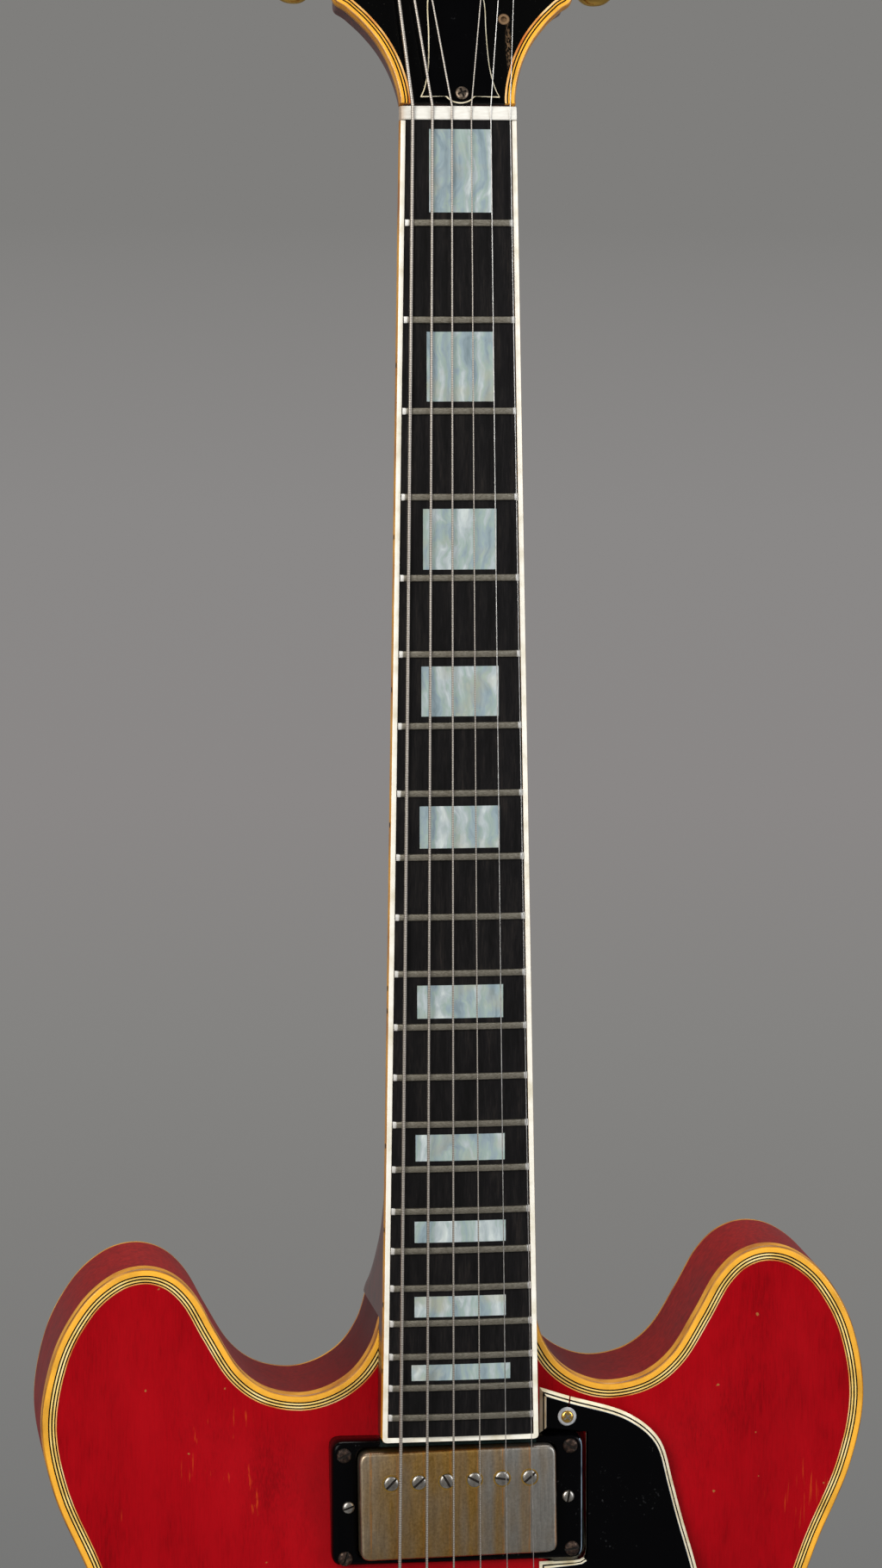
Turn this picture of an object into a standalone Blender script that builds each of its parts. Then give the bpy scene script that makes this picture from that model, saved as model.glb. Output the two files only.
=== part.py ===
"""Semi-hollow electric guitar, as the separate pieces it is built from.

Metres, +Z up along the neck, -Y towards the listener, +X the treble side. The origin is on the
neck's centre line at the nut, half way through the neck, where a wall hanger holds it.
"""
import math

import bmesh
import bpy
import numpy as np
from mathutils import Matrix, Vector

# Strings and neck
SCALE_LENGTH = 0.62865
FRETS = 22
NECK_ANGLE = math.radians(3.5)
NUT_FRONT = 0.011            # board edge at the nut, in front of the origin
NUT_LENGTH = 0.0047
NUT_HALF = 0.0202
BOARD_START = 0.0004         # along the neck from the nut
BOARD_END = 0.4613
BOARD_END_HALF = 0.0278
BOARD_THICK = 0.0053
BOARD_RADIUS = 0.3048
BOARD_BINDING = 0.0019
FRET_WIDTH = 0.0024
FRET_FLAT = 0.0013           # the worn flat along its top
FRET_HEIGHT = 0.0010
FRET_SUNK = 0.00015          # how far its crown starts below the wood
STRING_RADII = (0.00061, 0.00048, 0.00036, 0.00024, 0.00018, 0.00014)
NUT_STRING_FIRST = -0.0163
NUT_STRING_STEP = 0.0068
BRIDGE_STRING_FIRST = -0.0238
BRIDGE_STRING_STEP = 0.0102
NUT_STRING_LIFT = 0.0011
BRIDGE_STRING_LIFT = 0.0041

# Headstock
HEAD_ANGLE = math.radians(17)
HEAD_FACE_DROP = 0.0015
HEAD_THICK = 0.0130
VENEER = 0.0016
HEAD_BINDING = 0.0038
TUNER_X = 0.025
TUNER_FIRST = 0.062
TUNER_STEP = 0.039
TUNER_HOLE = 0.0034
ROD_POCKET_HALF = 0.0055
ROD_POCKET_TOP = 0.0290

# Body
BODY_X = 0.0015              # the body's centre line sits a little to the treble side
BODY_FRONT = -0.0208
BODY_DEPTH = 0.044
RIM_WALL = 0.0055
LINING = 0.0110
TOP_THICK = 0.0055
BACK_THICK = 0.0042
TOP_BINDING_WIDE = 0.0053
TOP_BINDING_DEEP = TOP_THICK
BACK_BINDING_WIDE = 0.0026
BACK_BINDING_DEEP = BACK_THICK
TOP_ARCH = 0.0125
BACK_ARCH = 0.0100
ARCH_FLAT = 0.006
ARCH_RUN = 0.075
BLOCK_HALF = 0.055
HEEL_FACE = -0.4187
TENON_HALF = 0.0165
TENON_BACK = 0.0020
TENON_END = -0.4602
POT_HOLE = 0.0037
BUSH_HOLE = 0.0062
BRIDGE_POST_HOLE = 0.0031
SOUND_HOLE = (0.088, -0.634)  # its middle, from the body's centre line
GRID = 0.030
GAP = 0.0003
SEAT_GAP = 0.0009             # under a flat foot on the arched top
BLOCK_GAP = 0.0010            # glue line under the arched plates

# Hardware
PICKUP_S = (0.4839, 0.5870)
PICKUP_HALF = (0.0350, 0.0192)
PICKUP_X = -0.0005
PICKUP_ROOM = 0.0008         # round a pickup in its well
RING_HALF = (0.0448, 0.0222)
GUARD_POST = (0.0392, -0.4553)
GUARD_POST_RADIUS = 0.0028
GUARD_CLEAR = 0.0016         # between the guard and the pickup rings
BRIDGE_POST_X = 0.037
SHAFT_Z = -0.738
SHAFT_Y = -0.0428
SHAFT_RADIUS = 0.0055
KNOBS = {
    "volume_knob_neck": (0.116, -0.722),
    "tone_knob_neck": (0.160, -0.744),
    "volume_knob_bridge": (0.094, -0.768),
    "tone_knob_bridge": (0.138, -0.790),
}
KNOB_RADIUS = 0.0126
KNOB_TALL = 0.0150
POT_SHAFT = 0.0030
POT_REACH = 0.0160
POINTER_RADIUS = 0.0098
SWITCH_RADIUS = 0.0086
JACK_RADIUS = 0.0092
SELECTOR = (0.136, -0.664)
TOGGLE = (0.168, -0.700)
JACK = (0.108, -0.833)

# The right half of the body's outline, from the neck joint round to the end
BODY_HALF = (
    (0.0275, -0.4190), (0.0306, -0.4295), (0.0366, -0.4386), (0.0455, -0.4446), (0.0560, -0.4468),
    (0.0680, -0.4441), (0.0776, -0.4364), (0.0860, -0.4226), (0.0935, -0.4092), (0.1018, -0.4014),
    (0.1120, -0.3988), (0.1230, -0.4020), (0.1340, -0.4120), (0.1434, -0.4300), (0.1476, -0.4550),
    (0.1428, -0.4810), (0.1308, -0.5100), (0.1218, -0.5400), (0.1188, -0.5700), (0.1250, -0.6030),
    (0.1438, -0.6360), (0.1700, -0.6640), (0.1930, -0.6970), (0.2032, -0.7400), (0.1960, -0.7870),
    (0.1700, -0.8280), (0.1320, -0.8580), (0.0840, -0.8750), (0.0400, -0.8806), (0.0, -0.8816),
)
# The right half of the headstock's outline, from the nut up to a plain rounded crown
HEAD_HALF = (
    (0.0202, 0.0012), (0.0203, 0.0040), (0.0213, 0.0095), (0.0235, 0.0165), (0.0272, 0.0238),
    (0.0322, 0.0304), (0.0374, 0.0356), (0.0420, 0.0400), (0.0412, 0.0520), (0.0402, 0.0780),
    (0.0412, 0.1080), (0.0438, 0.1380), (0.0450, 0.1570), (0.0400, 0.1680), (0.0240, 0.1750),
    (0.0, 0.1780),
)

SMOOTH = math.radians(34)


def finish(name, hex_colour, roughness, metallic=0.0):
    """A Principled material from an sRGB colour."""
    value = int(hex_colour, 16)
    channels = [((value >> shift) & 255) / 255 for shift in (16, 8, 0)]
    linear = [c / 12.92 if c <= 0.04045 else ((c + 0.055) / 1.055) ** 2.4 for c in channels]
    material = bpy.data.materials.new(name)
    material.use_nodes = True
    shader = material.node_tree.nodes["Principled BSDF"]
    shader.inputs["Base Color"].default_value = (*linear, 1)
    shader.inputs["Roughness"].default_value = roughness
    shader.inputs["Metallic"].default_value = metallic
    return material


def clear_scene():
    for item in list(bpy.data.objects):
        bpy.data.objects.remove(item, do_unlink=True)


def add_empty(name, location=(0, 0, 0), rotation=(0, 0, 0), parent=None):
    empty = bpy.data.objects.new(name, None)
    bpy.context.collection.objects.link(empty)
    empty.location = location
    empty.rotation_euler = rotation
    empty.parent = parent
    return empty


def add_object(name, bm, material=None, parent=None, location=(0, 0, 0), rotation=(0, 0, 0)):
    """Make an object of a bmesh; without a material it is a cutter or a guide."""
    bmesh.ops.remove_doubles(bm, verts=bm.verts, dist=1e-6)
    bmesh.ops.recalc_face_normals(bm, faces=bm.faces)
    mesh = bpy.data.meshes.new(name)
    bm.to_mesh(mesh)
    bm.free()
    item = bpy.data.objects.new(name, mesh)
    bpy.context.collection.objects.link(item)
    item.parent = parent
    item.location = location
    item.rotation_euler = rotation
    if material:
        mesh.materials.append(material)
        mesh.shade_smooth()
        mesh.set_sharp_from_angle(angle=SMOOTH)
    else:
        item.hide_render = True
        item.display_type = "WIRE"
    return item


def combine(target, tool, operation="DIFFERENCE"):
    modifier = target.modifiers.new(operation.title(), "BOOLEAN")
    modifier.operation = operation
    modifier.solver = "EXACT"
    modifier.object = tool


def soften(item, width, segments=2):
    modifier = item.modifiers.new("Edges", "BEVEL")
    modifier.width = width
    modifier.segments = segments
    modifier.limit_method = "ANGLE"
    modifier.angle_limit = math.radians(50)


def curve_points(keys, steps):
    """Points on a smooth curve through the keys, with so many steps to each span."""
    keys = [Vector(key) for key in keys]
    last = len(keys) - 1
    points = []
    for span in range(last):
        a, b, c, d = (keys[min(max(span + shift, 0), last)] for shift in (-1, 0, 1, 2))
        for step in range(steps):
            t = step / steps
            points.append(0.5 * (2 * b + (c - a) * t + (2 * a - 5 * b + 4 * c - d) * t ** 2
                                 + (3 * b - a - 3 * c + d) * t ** 3))
    points.append(keys[-1])
    return points


def mirrored(half, steps, centre=0.0):
    """A closed outline from its right half, which starts at the top and ends on the centre line."""
    right = curve_points(half, steps)
    left = [Vector((-point.x, point.y)) for point in reversed(right[:-1])]
    return [Vector((point.x + centre, point.y)) for point in right + left]


def inset(outline, distance):
    """The outline moved inwards by a distance, with mitred corners; it runs clockwise."""
    result = []
    count = len(outline)
    for index, point in enumerate(outline):
        before = (point - outline[index - 1]).normalized()
        after = (outline[(index + 1) % count] - point).normalized()
        normal_before = Vector((before.y, -before.x))
        normal_after = Vector((after.y, -after.x))
        middle = (normal_before + normal_after).normalized()
        result.append(point + middle * distance / max(middle.dot(normal_after), 0.3))
    return result


def prism(outline, front, back, bm=None):
    """A closed plate with its outline in X and Z, between two depths in Y."""
    bm = bm or bmesh.new()
    verts = [bm.verts.new((point[0], front, point[1])) for point in outline]
    face = bm.faces.new(verts)
    grown = bmesh.ops.extrude_face_region(bm, geom=[face])
    moved = [part for part in grown["geom"] if isinstance(part, bmesh.types.BMVert)]
    bmesh.ops.translate(bm, verts=moved, vec=(0, back - front, 0))
    return bm


def box(low, high, bm=None):
    bm = bm or bmesh.new()
    size = [high[axis] - low[axis] for axis in range(3)]
    centre = [(high[axis] + low[axis]) / 2 for axis in range(3)]
    bmesh.ops.create_cube(bm, size=1, matrix=Matrix.Translation(centre) @ Matrix.Diagonal((*size, 1)))
    return bm


def cylinder(radius, low, high, segments=16, axis="Y", centre=(0, 0), bm=None):
    """A cylinder along one axis, between two places on it; centre is on the other two axes."""
    bm = bm or bmesh.new()
    turn = {"Y": Matrix.Rotation(math.radians(90), 4, "X"),
            "X": Matrix.Rotation(math.radians(90), 4, "Y"),
            "Z": Matrix.Identity(4)}[axis]
    middle = (low + high) / 2
    place = {"Y": (centre[0], middle, centre[1]),
             "X": (middle, centre[0], centre[1]),
             "Z": (centre[0], centre[1], middle)}[axis]
    bmesh.ops.create_cone(bm, cap_ends=True, segments=segments, radius1=radius, radius2=radius,
                          depth=high - low, matrix=Matrix.Translation(place) @ turn)
    return bm


def lathe(profile, segments=20, bm=None):
    """A solid of revolution about Y from (radius, y) pairs that start and end on the axis, or meet."""
    bm = bm or bmesh.new()
    closed = profile[0][0] > 1e-7
    verts = [bm.verts.new((radius, y, 0)) for radius, y in profile]
    edges = [bm.edges.new(pair) for pair in zip(verts, verts[1:])]
    if closed:
        edges.append(bm.edges.new((verts[-1], verts[0])))
    bmesh.ops.spin(bm, geom=verts + edges, axis=(0, 1, 0), cent=(0, 0, 0), steps=segments,
                   angle=math.tau, use_merge=True)
    bmesh.ops.remove_doubles(bm, verts=bm.verts, dist=1e-6)
    return bm


def loft(rings, bm=None):
    """A closed skin over rings of equally many points, with a flat cap at each end."""
    bm = bm or bmesh.new()
    loops = [[bm.verts.new(point) for point in ring] for ring in rings]
    count = len(loops[0])
    for lower, upper in zip(loops, loops[1:]):
        for index in range(count):
            after = (index + 1) % count
            bm.faces.new((lower[index], lower[after], upper[after], upper[index]))
    bm.faces.new(loops[0])
    bm.faces.new(list(reversed(loops[-1])))
    return bm


def ring_along(outline, section):
    """A closed strip round an outline; its section is (inward distance, y) pairs."""
    bm = bmesh.new()
    tracks = [[bm.verts.new((point.x, y, point.y)) for point in inset(outline, inward)]
              for inward, y in section]
    count = len(outline)
    for index, track in enumerate(tracks):
        other = tracks[(index + 1) % len(tracks)]
        for step in range(count):
            after = (step + 1) % count
            bm.faces.new((track[step], track[after], other[after], other[step]))
    return bm


OUTLINE = mirrored(BODY_HALF, 1, BODY_X)
HEAD_OUTLINE = mirrored(HEAD_HALF, 1)[::-1]
FINE = np.array(mirrored(BODY_HALF, 4, BODY_X))
FINE_STEPS = np.linalg.norm(np.roll(FINE, -1, axis=0) - FINE, axis=1)
FINE_MIDDLES = (np.roll(FINE, -1, axis=0) + FINE) / 2


def soft_distance(x, z):
    """Distance to the edge, rounded over so that the arch has no ridges down the horns."""
    reach = ((FINE_MIDDLES - (x, z)) ** 2).sum(axis=1) + 1e-8
    return (math.pi / (2 * (FINE_STEPS / reach ** 2).sum())) ** (1 / 3)


def arch(x, z):
    """How far the arching stands out of the rim's plane, from 0 to 1."""
    rise = min(max((soft_distance(x, z) - ARCH_FLAT) / ARCH_RUN, 0.0), 1.0)
    return rise * rise * (3 - 2 * rise)


def top_face(x, z):
    return BODY_FRONT - TOP_ARCH * arch(x, z)


def back_face(x, z):
    return BODY_FRONT + BODY_DEPTH + BACK_ARCH * arch(x, z)


def seat(x, z, radius):
    """The foremost depth of the top under a round foot."""
    round_foot = [math.tau * step / 8 for step in range(8)]
    return min(top_face(x + radius * math.cos(turn), z + radius * math.sin(turn)) for turn in round_foot)


def cut_to_grid(bm, spacing):
    """Cut a plate along a square grid and triangulate it, so that it can be arched."""
    xs = [BODY_X + spacing * step for step in range(-7, 8)]
    zs = [-0.41 - spacing * step for step in range(0, 16)]
    planes = [((x, 0, 0), (1, 0, 0)) for x in xs] + [((0, 0, z), (0, 0, 1)) for z in zs]
    for place, normal in planes:
        bmesh.ops.bisect_plane(bm, geom=bm.verts[:] + bm.edges[:] + bm.faces[:], dist=1e-5,
                               plane_co=place, plane_no=normal)
    bmesh.ops.triangulate(bm, faces=bm.faces[:])
    return bm


def board_face(z):
    """Depth of the fingerboard's edges at a height."""
    return -NUT_FRONT + z * math.tan(NECK_ANGLE)


def board_half(distance):
    return NUT_HALF + (BOARD_END_HALF - NUT_HALF) * distance / BOARD_END


def crown(x, distance):
    """How far the cylindrical board stands above its own edges."""
    half = board_half(distance)
    return math.sqrt(BOARD_RADIUS ** 2 - x ** 2) - math.sqrt(BOARD_RADIUS ** 2 - half ** 2)


def fret_place(number):
    return SCALE_LENGTH * (1 - 2 ** (-number / 12))


def string_x(index, distance):
    at_nut = NUT_STRING_FIRST + NUT_STRING_STEP * index
    at_bridge = BRIDGE_STRING_FIRST + BRIDGE_STRING_STEP * index
    return at_nut + (at_bridge - at_nut) * distance / SCALE_LENGTH


def string_depth(index, distance):
    """Local depth of a string's middle in the neck's frame; in front of the board is negative."""
    share = distance / SCALE_LENGTH
    lift = NUT_STRING_LIFT + (BRIDGE_STRING_LIFT - NUT_STRING_LIFT) * share
    x = string_x(index, distance)
    return -crown(x, distance * 0.5) - lift - STRING_RADII[index]


def neck_to_world(x, depth, distance):
    """A point of the neck's frame: across, behind the board's edges, and along from the nut."""
    sine, cosine = math.sin(NECK_ANGLE), math.cos(NECK_ANGLE)
    return Vector((x, -NUT_FRONT - distance * sine + depth * cosine,
                   -distance * cosine - depth * sine))


def body_sides(material):
    front = BODY_FRONT + TOP_BINDING_DEEP + GAP
    back = BODY_FRONT + BODY_DEPTH - BACK_BINDING_DEEP - GAP
    section = ((0, front), (LINING, front), (LINING, front + 0.005), (RIM_WALL, front + 0.012),
               (RIM_WALL, back - 0.012), (LINING, back - 0.005), (LINING, back), (0, back))
    return add_object("body_sides", ring_along(OUTLINE, section), material)


def binding(name, wide, front, back, material):
    section = ((0, front), (wide, front), (wide, back), (0, back))
    return add_object(name, ring_along(OUTLINE, section), material)


def f_hole_outline(side):
    """A sound hole: a tapering stem whose ends hook round to an eye, mirrored by side."""
    spine = curve_points(((-0.0105, 0.0500), (-0.0060, 0.0585), (0.0015, 0.0590), (0.0050, 0.0480),
                          (0.0030, 0.0240), (0.0, 0.0)), 2)
    spine += [-point for point in reversed(spine[:-1])]
    half_widths = [0.0012 + 0.0030 * math.sin(math.pi * step / (len(spine) - 1))
                   for step in range(len(spine))]
    left, right = [], []
    for index, point in enumerate(spine):
        ahead = spine[min(index + 1, len(spine) - 1)] - spine[max(index - 1, 0)]
        across = Vector((ahead.y, -ahead.x)).normalized()
        left.append(point - across * half_widths[index])
        right.append(point + across * half_widths[index])
    lean = Matrix.Rotation(math.radians(-9), 2)
    outline = [lean @ point for point in left + right[::-1]]
    eyes = [lean @ Vector((-0.0125, 0.0460)), lean @ Vector((0.0125, -0.0460))]
    place = Vector((BODY_X + side * SOUND_HOLE[0], SOUND_HOLE[1]))
    flip = Vector((side, 1))
    return [place + point * flip for point in outline], [place + eye * flip for eye in eyes]


def sound_hole_cutter(side):
    stem, eyes = f_hole_outline(side)
    depths = (BODY_FRONT - 0.04, BODY_FRONT + 0.01)
    cutter = add_object("sound_hole_stem", prism(stem, *depths))
    for eye, radius in zip(eyes, (0.0052, 0.0064)):
        disc = add_object("sound_hole_eye", cylinder(radius, *depths, segments=12, centre=eye))
        combine(cutter, disc, "UNION")
    return cutter


def pickup_box(distance, margin, front, back):
    """A pickup's footprint grown by a margin, square to the strings."""
    half_x, half_z = PICKUP_HALF
    low = (PICKUP_X - half_x - margin, front, -distance - half_z - margin)
    high = (PICKUP_X + half_x + margin, back, -distance + half_z + margin)
    return low, high


def body_plates(sides, wood_top, wood_back, wood_block, neck_frame):
    """The arched top and back and the block between them, with every hole for the hardware."""
    top_outline = inset(OUTLINE, TOP_BINDING_WIDE + GAP)
    bm = cut_to_grid(prism(top_outline, 0, TOP_THICK), GRID)
    for vert in bm.verts:
        vert.co.y += top_face(vert.co.x, vert.co.z)
    top = add_object("body_top", bm, wood_top)

    back_outline = inset(OUTLINE, BACK_BINDING_WIDE + GAP)
    bm = cut_to_grid(prism(back_outline, -BACK_THICK, 0), GRID)
    for vert in bm.verts:
        vert.co.y += back_face(vert.co.x, vert.co.z)
    back = add_object("body_back", bm, wood_back)

    front = BODY_FRONT + TOP_THICK
    rear = BODY_FRONT + BODY_DEPTH - BACK_THICK
    bm = prism(inset(OUTLINE, LINING + GAP), front, rear)
    for side in (-1, 1):
        bmesh.ops.bisect_plane(bm, geom=bm.verts[:] + bm.edges[:] + bm.faces[:], dist=1e-6,
                               plane_co=(BODY_X + side * BLOCK_HALF, 0, 0), plane_no=(side, 0, 0),
                               clear_outer=True)
    bmesh.ops.holes_fill(bm, edges=bm.edges[:])
    cut_to_grid(bm, GRID)
    for vert in bm.verts:
        if vert.co.y < (front + rear) / 2:
            vert.co.y = top_face(vert.co.x, vert.co.z) + TOP_THICK + BLOCK_GAP
        else:
            vert.co.y = back_face(vert.co.x, vert.co.z) - BACK_THICK - BLOCK_GAP
    block = add_object("centre_block", bm, wood_block)

    for side in (-1, 1):
        combine(top, sound_hole_cutter(side))

    reach = 0.06
    holes = bmesh.new()
    for x, z in KNOBS.values():
        cylinder(POT_HOLE, BODY_FRONT - reach, BODY_FRONT + reach, 8, centre=(x, z), bm=holes)
    cylinder(POT_HOLE, BODY_FRONT - reach, BODY_FRONT + reach, 8, centre=SELECTOR, bm=holes)
    cylinder(BUSH_HOLE, BODY_FRONT - reach, BODY_FRONT + reach, 12, centre=TOGGLE, bm=holes)
    cylinder(BUSH_HOLE, BODY_FRONT - reach, BODY_FRONT + reach, 12, centre=JACK, bm=holes)
    combine(top, add_object("control_holes", holes))

    bridge_z = -SCALE_LENGTH * math.cos(NECK_ANGLE)
    posts = bmesh.new()
    for side in (-1, 1):
        cylinder(BRIDGE_POST_HOLE, BODY_FRONT - reach, -0.0040, 8,
                 centre=(BODY_X + side * BRIDGE_POST_X, bridge_z), bm=posts)
    post_holes = add_object("bridge_post_holes", posts)
    combine(top, post_holes)
    combine(block, post_holes)

    wells = bmesh.new()
    for distance in PICKUP_S:
        box(*pickup_box(distance, PICKUP_ROOM, -0.02, 0.0235), bm=wells)
    well_cutter = add_object("pickup_wells", wells, parent=neck_frame)
    combine(top, well_cutter)
    combine(block, well_cutter)

    room = TENON_HALF + GAP
    tenon = add_object("neck_mortise", box((-room, -0.06, TENON_END - GAP),
                                           (room, TENON_BACK + GAP, -0.40)))
    for item in (top, block, sides):
        combine(item, tenon)
    return tenon


def neck_section(half, front, depth, z, tilt=0.0, points=12):
    """A D-shaped slice of the neck, flat in front; tilt leans its back towards the headstock."""
    ring = []
    for step in range(points + 1):
        angle = math.pi * step / points
        reach = math.sin(angle) ** 0.85
        ring.append((half * math.cos(angle), front + depth * reach, z + tilt * reach))
    return ring


def neck(wood, head_frame, neck_frame):
    """Shaft, heel, tongue, tenon and headstock in one piece of wood, with the rod's channel."""
    def front(z):
        return board_face(z) + BOARD_THICK + GAP

    stations = (
        (0.020, 0.0198, 0.0040, 0.0070), (0.010, 0.0196, 0.0090, 0.0055), (0.0, 0.0196, 0.0128, 0.0030),
        (-0.020, 0.0200, 0.0150, 0.0), (-0.120, 0.0216, 0.0160, 0.0), (-0.300, 0.0246, 0.0180, 0.0),
        (-0.360, 0.0256, 0.0190, 0.0), (-0.385, 0.0260, 0.0215, 0.0), (-0.400, 0.0263, 0.0280, 0.0),
        (-0.410, 0.0265, 0.0370, 0.0), (-0.4155, 0.0266, 0.0455, 0.0), (HEEL_FACE, 0.0266, 0.0510, 0.0),
    )
    head_lean = math.tan(HEAD_ANGLE + NECK_ANGLE)
    rings = []
    for z, half, depth, tilt in stations:
        face = front(z)
        if z > 0.004:
            face = front(0.004) + (z - 0.004) * head_lean
        rings.append(neck_section(half, face, depth, z, tilt))
    shaft = add_object("neck", loft(rings), wood)

    tongue_rows = []
    for z in (HEEL_FACE + 0.006, HEEL_FACE, -0.432, -0.446, TENON_END):
        half = board_half(-z) - GAP
        low = min(top_face(x, z) for x in (0.0, BODY_X, half * 0.6)) - 2 * GAP
        tongue_rows.append([(-half, front(z), z), (half, front(z), z), (half, low, z), (-half, low, z)])
    combine(shaft, add_object("neck_tongue", loft(tongue_rows)), "UNION")
    tenon = box((-TENON_HALF, -0.0300, TENON_END), (TENON_HALF, TENON_BACK, HEEL_FACE + 0.004))
    combine(shaft, add_object("neck_tenon", tenon), "UNION")

    core = prism(HEAD_OUTLINE, VENEER + GAP, VENEER + GAP + HEAD_THICK)
    combine(shaft, add_object("headstock_core", core, parent=head_frame), "UNION")

    holes = bmesh.new()
    for side in (-1, 1):
        for row in range(3):
            cylinder(TUNER_HOLE, -0.02, 0.04, 10,
                     centre=(side * TUNER_X, TUNER_FIRST + TUNER_STEP * row), bm=holes)
    combine(shaft, add_object("tuner_holes", holes, parent=head_frame))
    channel = box((-0.0032, 0.0020, -0.405), (0.0032, 0.0142, 0.016))
    combine(shaft, add_object("rod_channel", channel, parent=neck_frame))
    pocket = box((-ROD_POCKET_HALF, -0.01, 0.0030), (ROD_POCKET_HALF, 0.0085, ROD_POCKET_TOP))
    combine(shaft, add_object("rod_pocket", pocket, parent=head_frame))
    nut_seat = box((-0.03, -0.01, -0.0030), (0.03, BOARD_THICK + GAP, NUT_LENGTH + GAP))
    combine(shaft, add_object("nut_seat", nut_seat, parent=neck_frame))


def truss_rod(steel, neck_frame):
    middle = 0.0100
    rod_object = add_object("truss_rod", cylinder(0.0022, -0.400, 0.0100, 8, "Z", (0, middle)), steel,
                            parent=neck_frame)
    nut = add_object("truss_rod_nut", cylinder(0.0030, 0.0070, 0.0150, 8, "Z", (0, middle)),
                     parent=neck_frame)
    combine(rod_object, nut, "UNION")


def fingerboard(ebony):
    """The radiused board between its bindings, with its frets pressed in."""
    across = 4
    rings = []
    for distance in (BOARD_START, BOARD_END - BOARD_BINDING - GAP):
        half = board_half(distance) - BOARD_BINDING - GAP
        xs = [half * (2 * step / across - 1) for step in range(across + 1)]
        ring = [neck_to_world(x, -crown(x, distance), distance) for x in xs]
        ring += [neck_to_world(half, BOARD_THICK, distance), neck_to_world(-half, BOARD_THICK, distance)]
        rings.append(ring)
    board = add_object("fingerboard", loft(rings), ebony)

    frets = bmesh.new()
    for number in range(1, FRETS + 1):
        loft(fret_rings(fret_place(number)), frets)
    combine(board, add_object("fret_wire", frets), "UNION")


def fret_rings(distance, steps=2):
    """One fret: a low crown that follows the board's radius from binding to binding."""
    half = board_half(distance) - BOARD_BINDING - GAP
    rings = []
    for step in range(steps + 1):
        x = half * (2 * step / steps - 1)
        foot = -crown(x, distance) + FRET_SUNK
        top = foot - FRET_SUNK - FRET_HEIGHT
        ring = [(FRET_WIDTH / 2, foot), (FRET_FLAT / 2, top), (-FRET_FLAT / 2, top),
                (-FRET_WIDTH / 2, foot)]
        rings.append([neck_to_world(x, depth, distance + along) for along, depth in ring])
    return rings


def fingerboard_binding(plastic, neck_frame):
    """A strip down each edge of the board, joined by one across its end."""
    inner_end = BOARD_END - BOARD_BINDING
    right = [(board_half(BOARD_END), -BOARD_END), (board_half(BOARD_START), -BOARD_START),
             (board_half(BOARD_START) - BOARD_BINDING, -BOARD_START),
             (board_half(inner_end) - BOARD_BINDING, -inner_end)]
    left = [(-x, z) for x, z in reversed(right)]
    add_object("fingerboard_binding", prism(right + left, 0.0, BOARD_THICK), plastic, parent=neck_frame)


def nut(bone, neck_frame):
    """A bone block with a slot under each string."""
    half = NUT_HALF - 0.0001
    bar = loft([[(-half, 0.0053, z), (half, 0.0053, z), (half, -0.0009, z), (half * 0.5, -0.0017, z),
                 (-half * 0.5, -0.0017, z), (-half, -0.0009, z)] for z in (0.0, NUT_LENGTH)])
    item = add_object("nut", bar, bone, parent=neck_frame)
    slots = bmesh.new()
    for index in range(6):
        x = string_x(index, 0)
        width = STRING_RADII[index] + GAP
        depth = string_depth(index, 0) + STRING_RADII[index] + GAP
        box((x - width, -0.006, -0.002), (x + width, depth, NUT_LENGTH + 0.002), bm=slots)
    combine(item, add_object("nut_slots", slots, parent=neck_frame))


def headstock_face(black, plastic, head_frame):
    """The black face with the rod's opening, the bound edge round it, and the rod's cover."""
    rim = HEAD_OUTLINE
    inner = inset(rim, HEAD_BINDING)
    inner[0].y = inner[-1].y = rim[0].y
    bound = bmesh.new()
    count = len(rim)
    loops = [[bound.verts.new((point.x, y, point.y)) for point in line]
             for line, y in ((rim, 0.0), (rim, VENEER), (inner, VENEER), (inner, 0.0))]
    for index in range(4):
        near, far = loops[index], loops[(index + 1) % 4]
        for step in range(count - 1):
            bound.faces.new((near[step], near[step + 1], far[step + 1], far[step]))
    bound.faces.new([loop[0] for loop in loops])
    bound.faces.new([loop[-1] for loop in reversed(loops)])
    add_object("headstock_binding", bound, plastic, parent=head_frame)

    face_outline = inset(rim, HEAD_BINDING + GAP)
    face_outline[0].y = face_outline[-1].y = rim[0].y
    face = add_object("headstock_veneer", prism(face_outline, 0.0, VENEER), black, parent=head_frame)
    holes = bmesh.new()
    for side in (-1, 1):
        for row in range(3):
            cylinder(TUNER_HOLE, -0.02, 0.02, 10,
                     centre=(side * TUNER_X, TUNER_FIRST + TUNER_STEP * row), bm=holes)
    box((-ROD_POCKET_HALF, -0.01, 0.0042), (ROD_POCKET_HALF, 0.01, ROD_POCKET_TOP), bm=holes)
    combine(face, add_object("face_holes", holes, parent=head_frame))

    right = [(0.0, 0.0006), (0.0052, 0.0030), (0.0140, 0.0026), (0.0116, 0.0100), (0.0106, 0.0230),
             (0.0100, 0.0370), (0.0084, 0.0450), (0.0048, 0.0500)]
    bell = right + [(0.0, 0.0514)] + [(-x, z) for x, z in reversed(right[1:])]
    bell = [(x + 0.0006, z) for x, z in bell]
    cover = add_object("truss_rod_cover", prism(bell, -0.0021, -GAP), black, parent=head_frame)
    soften(cover, 0.0003, 1)


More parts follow.
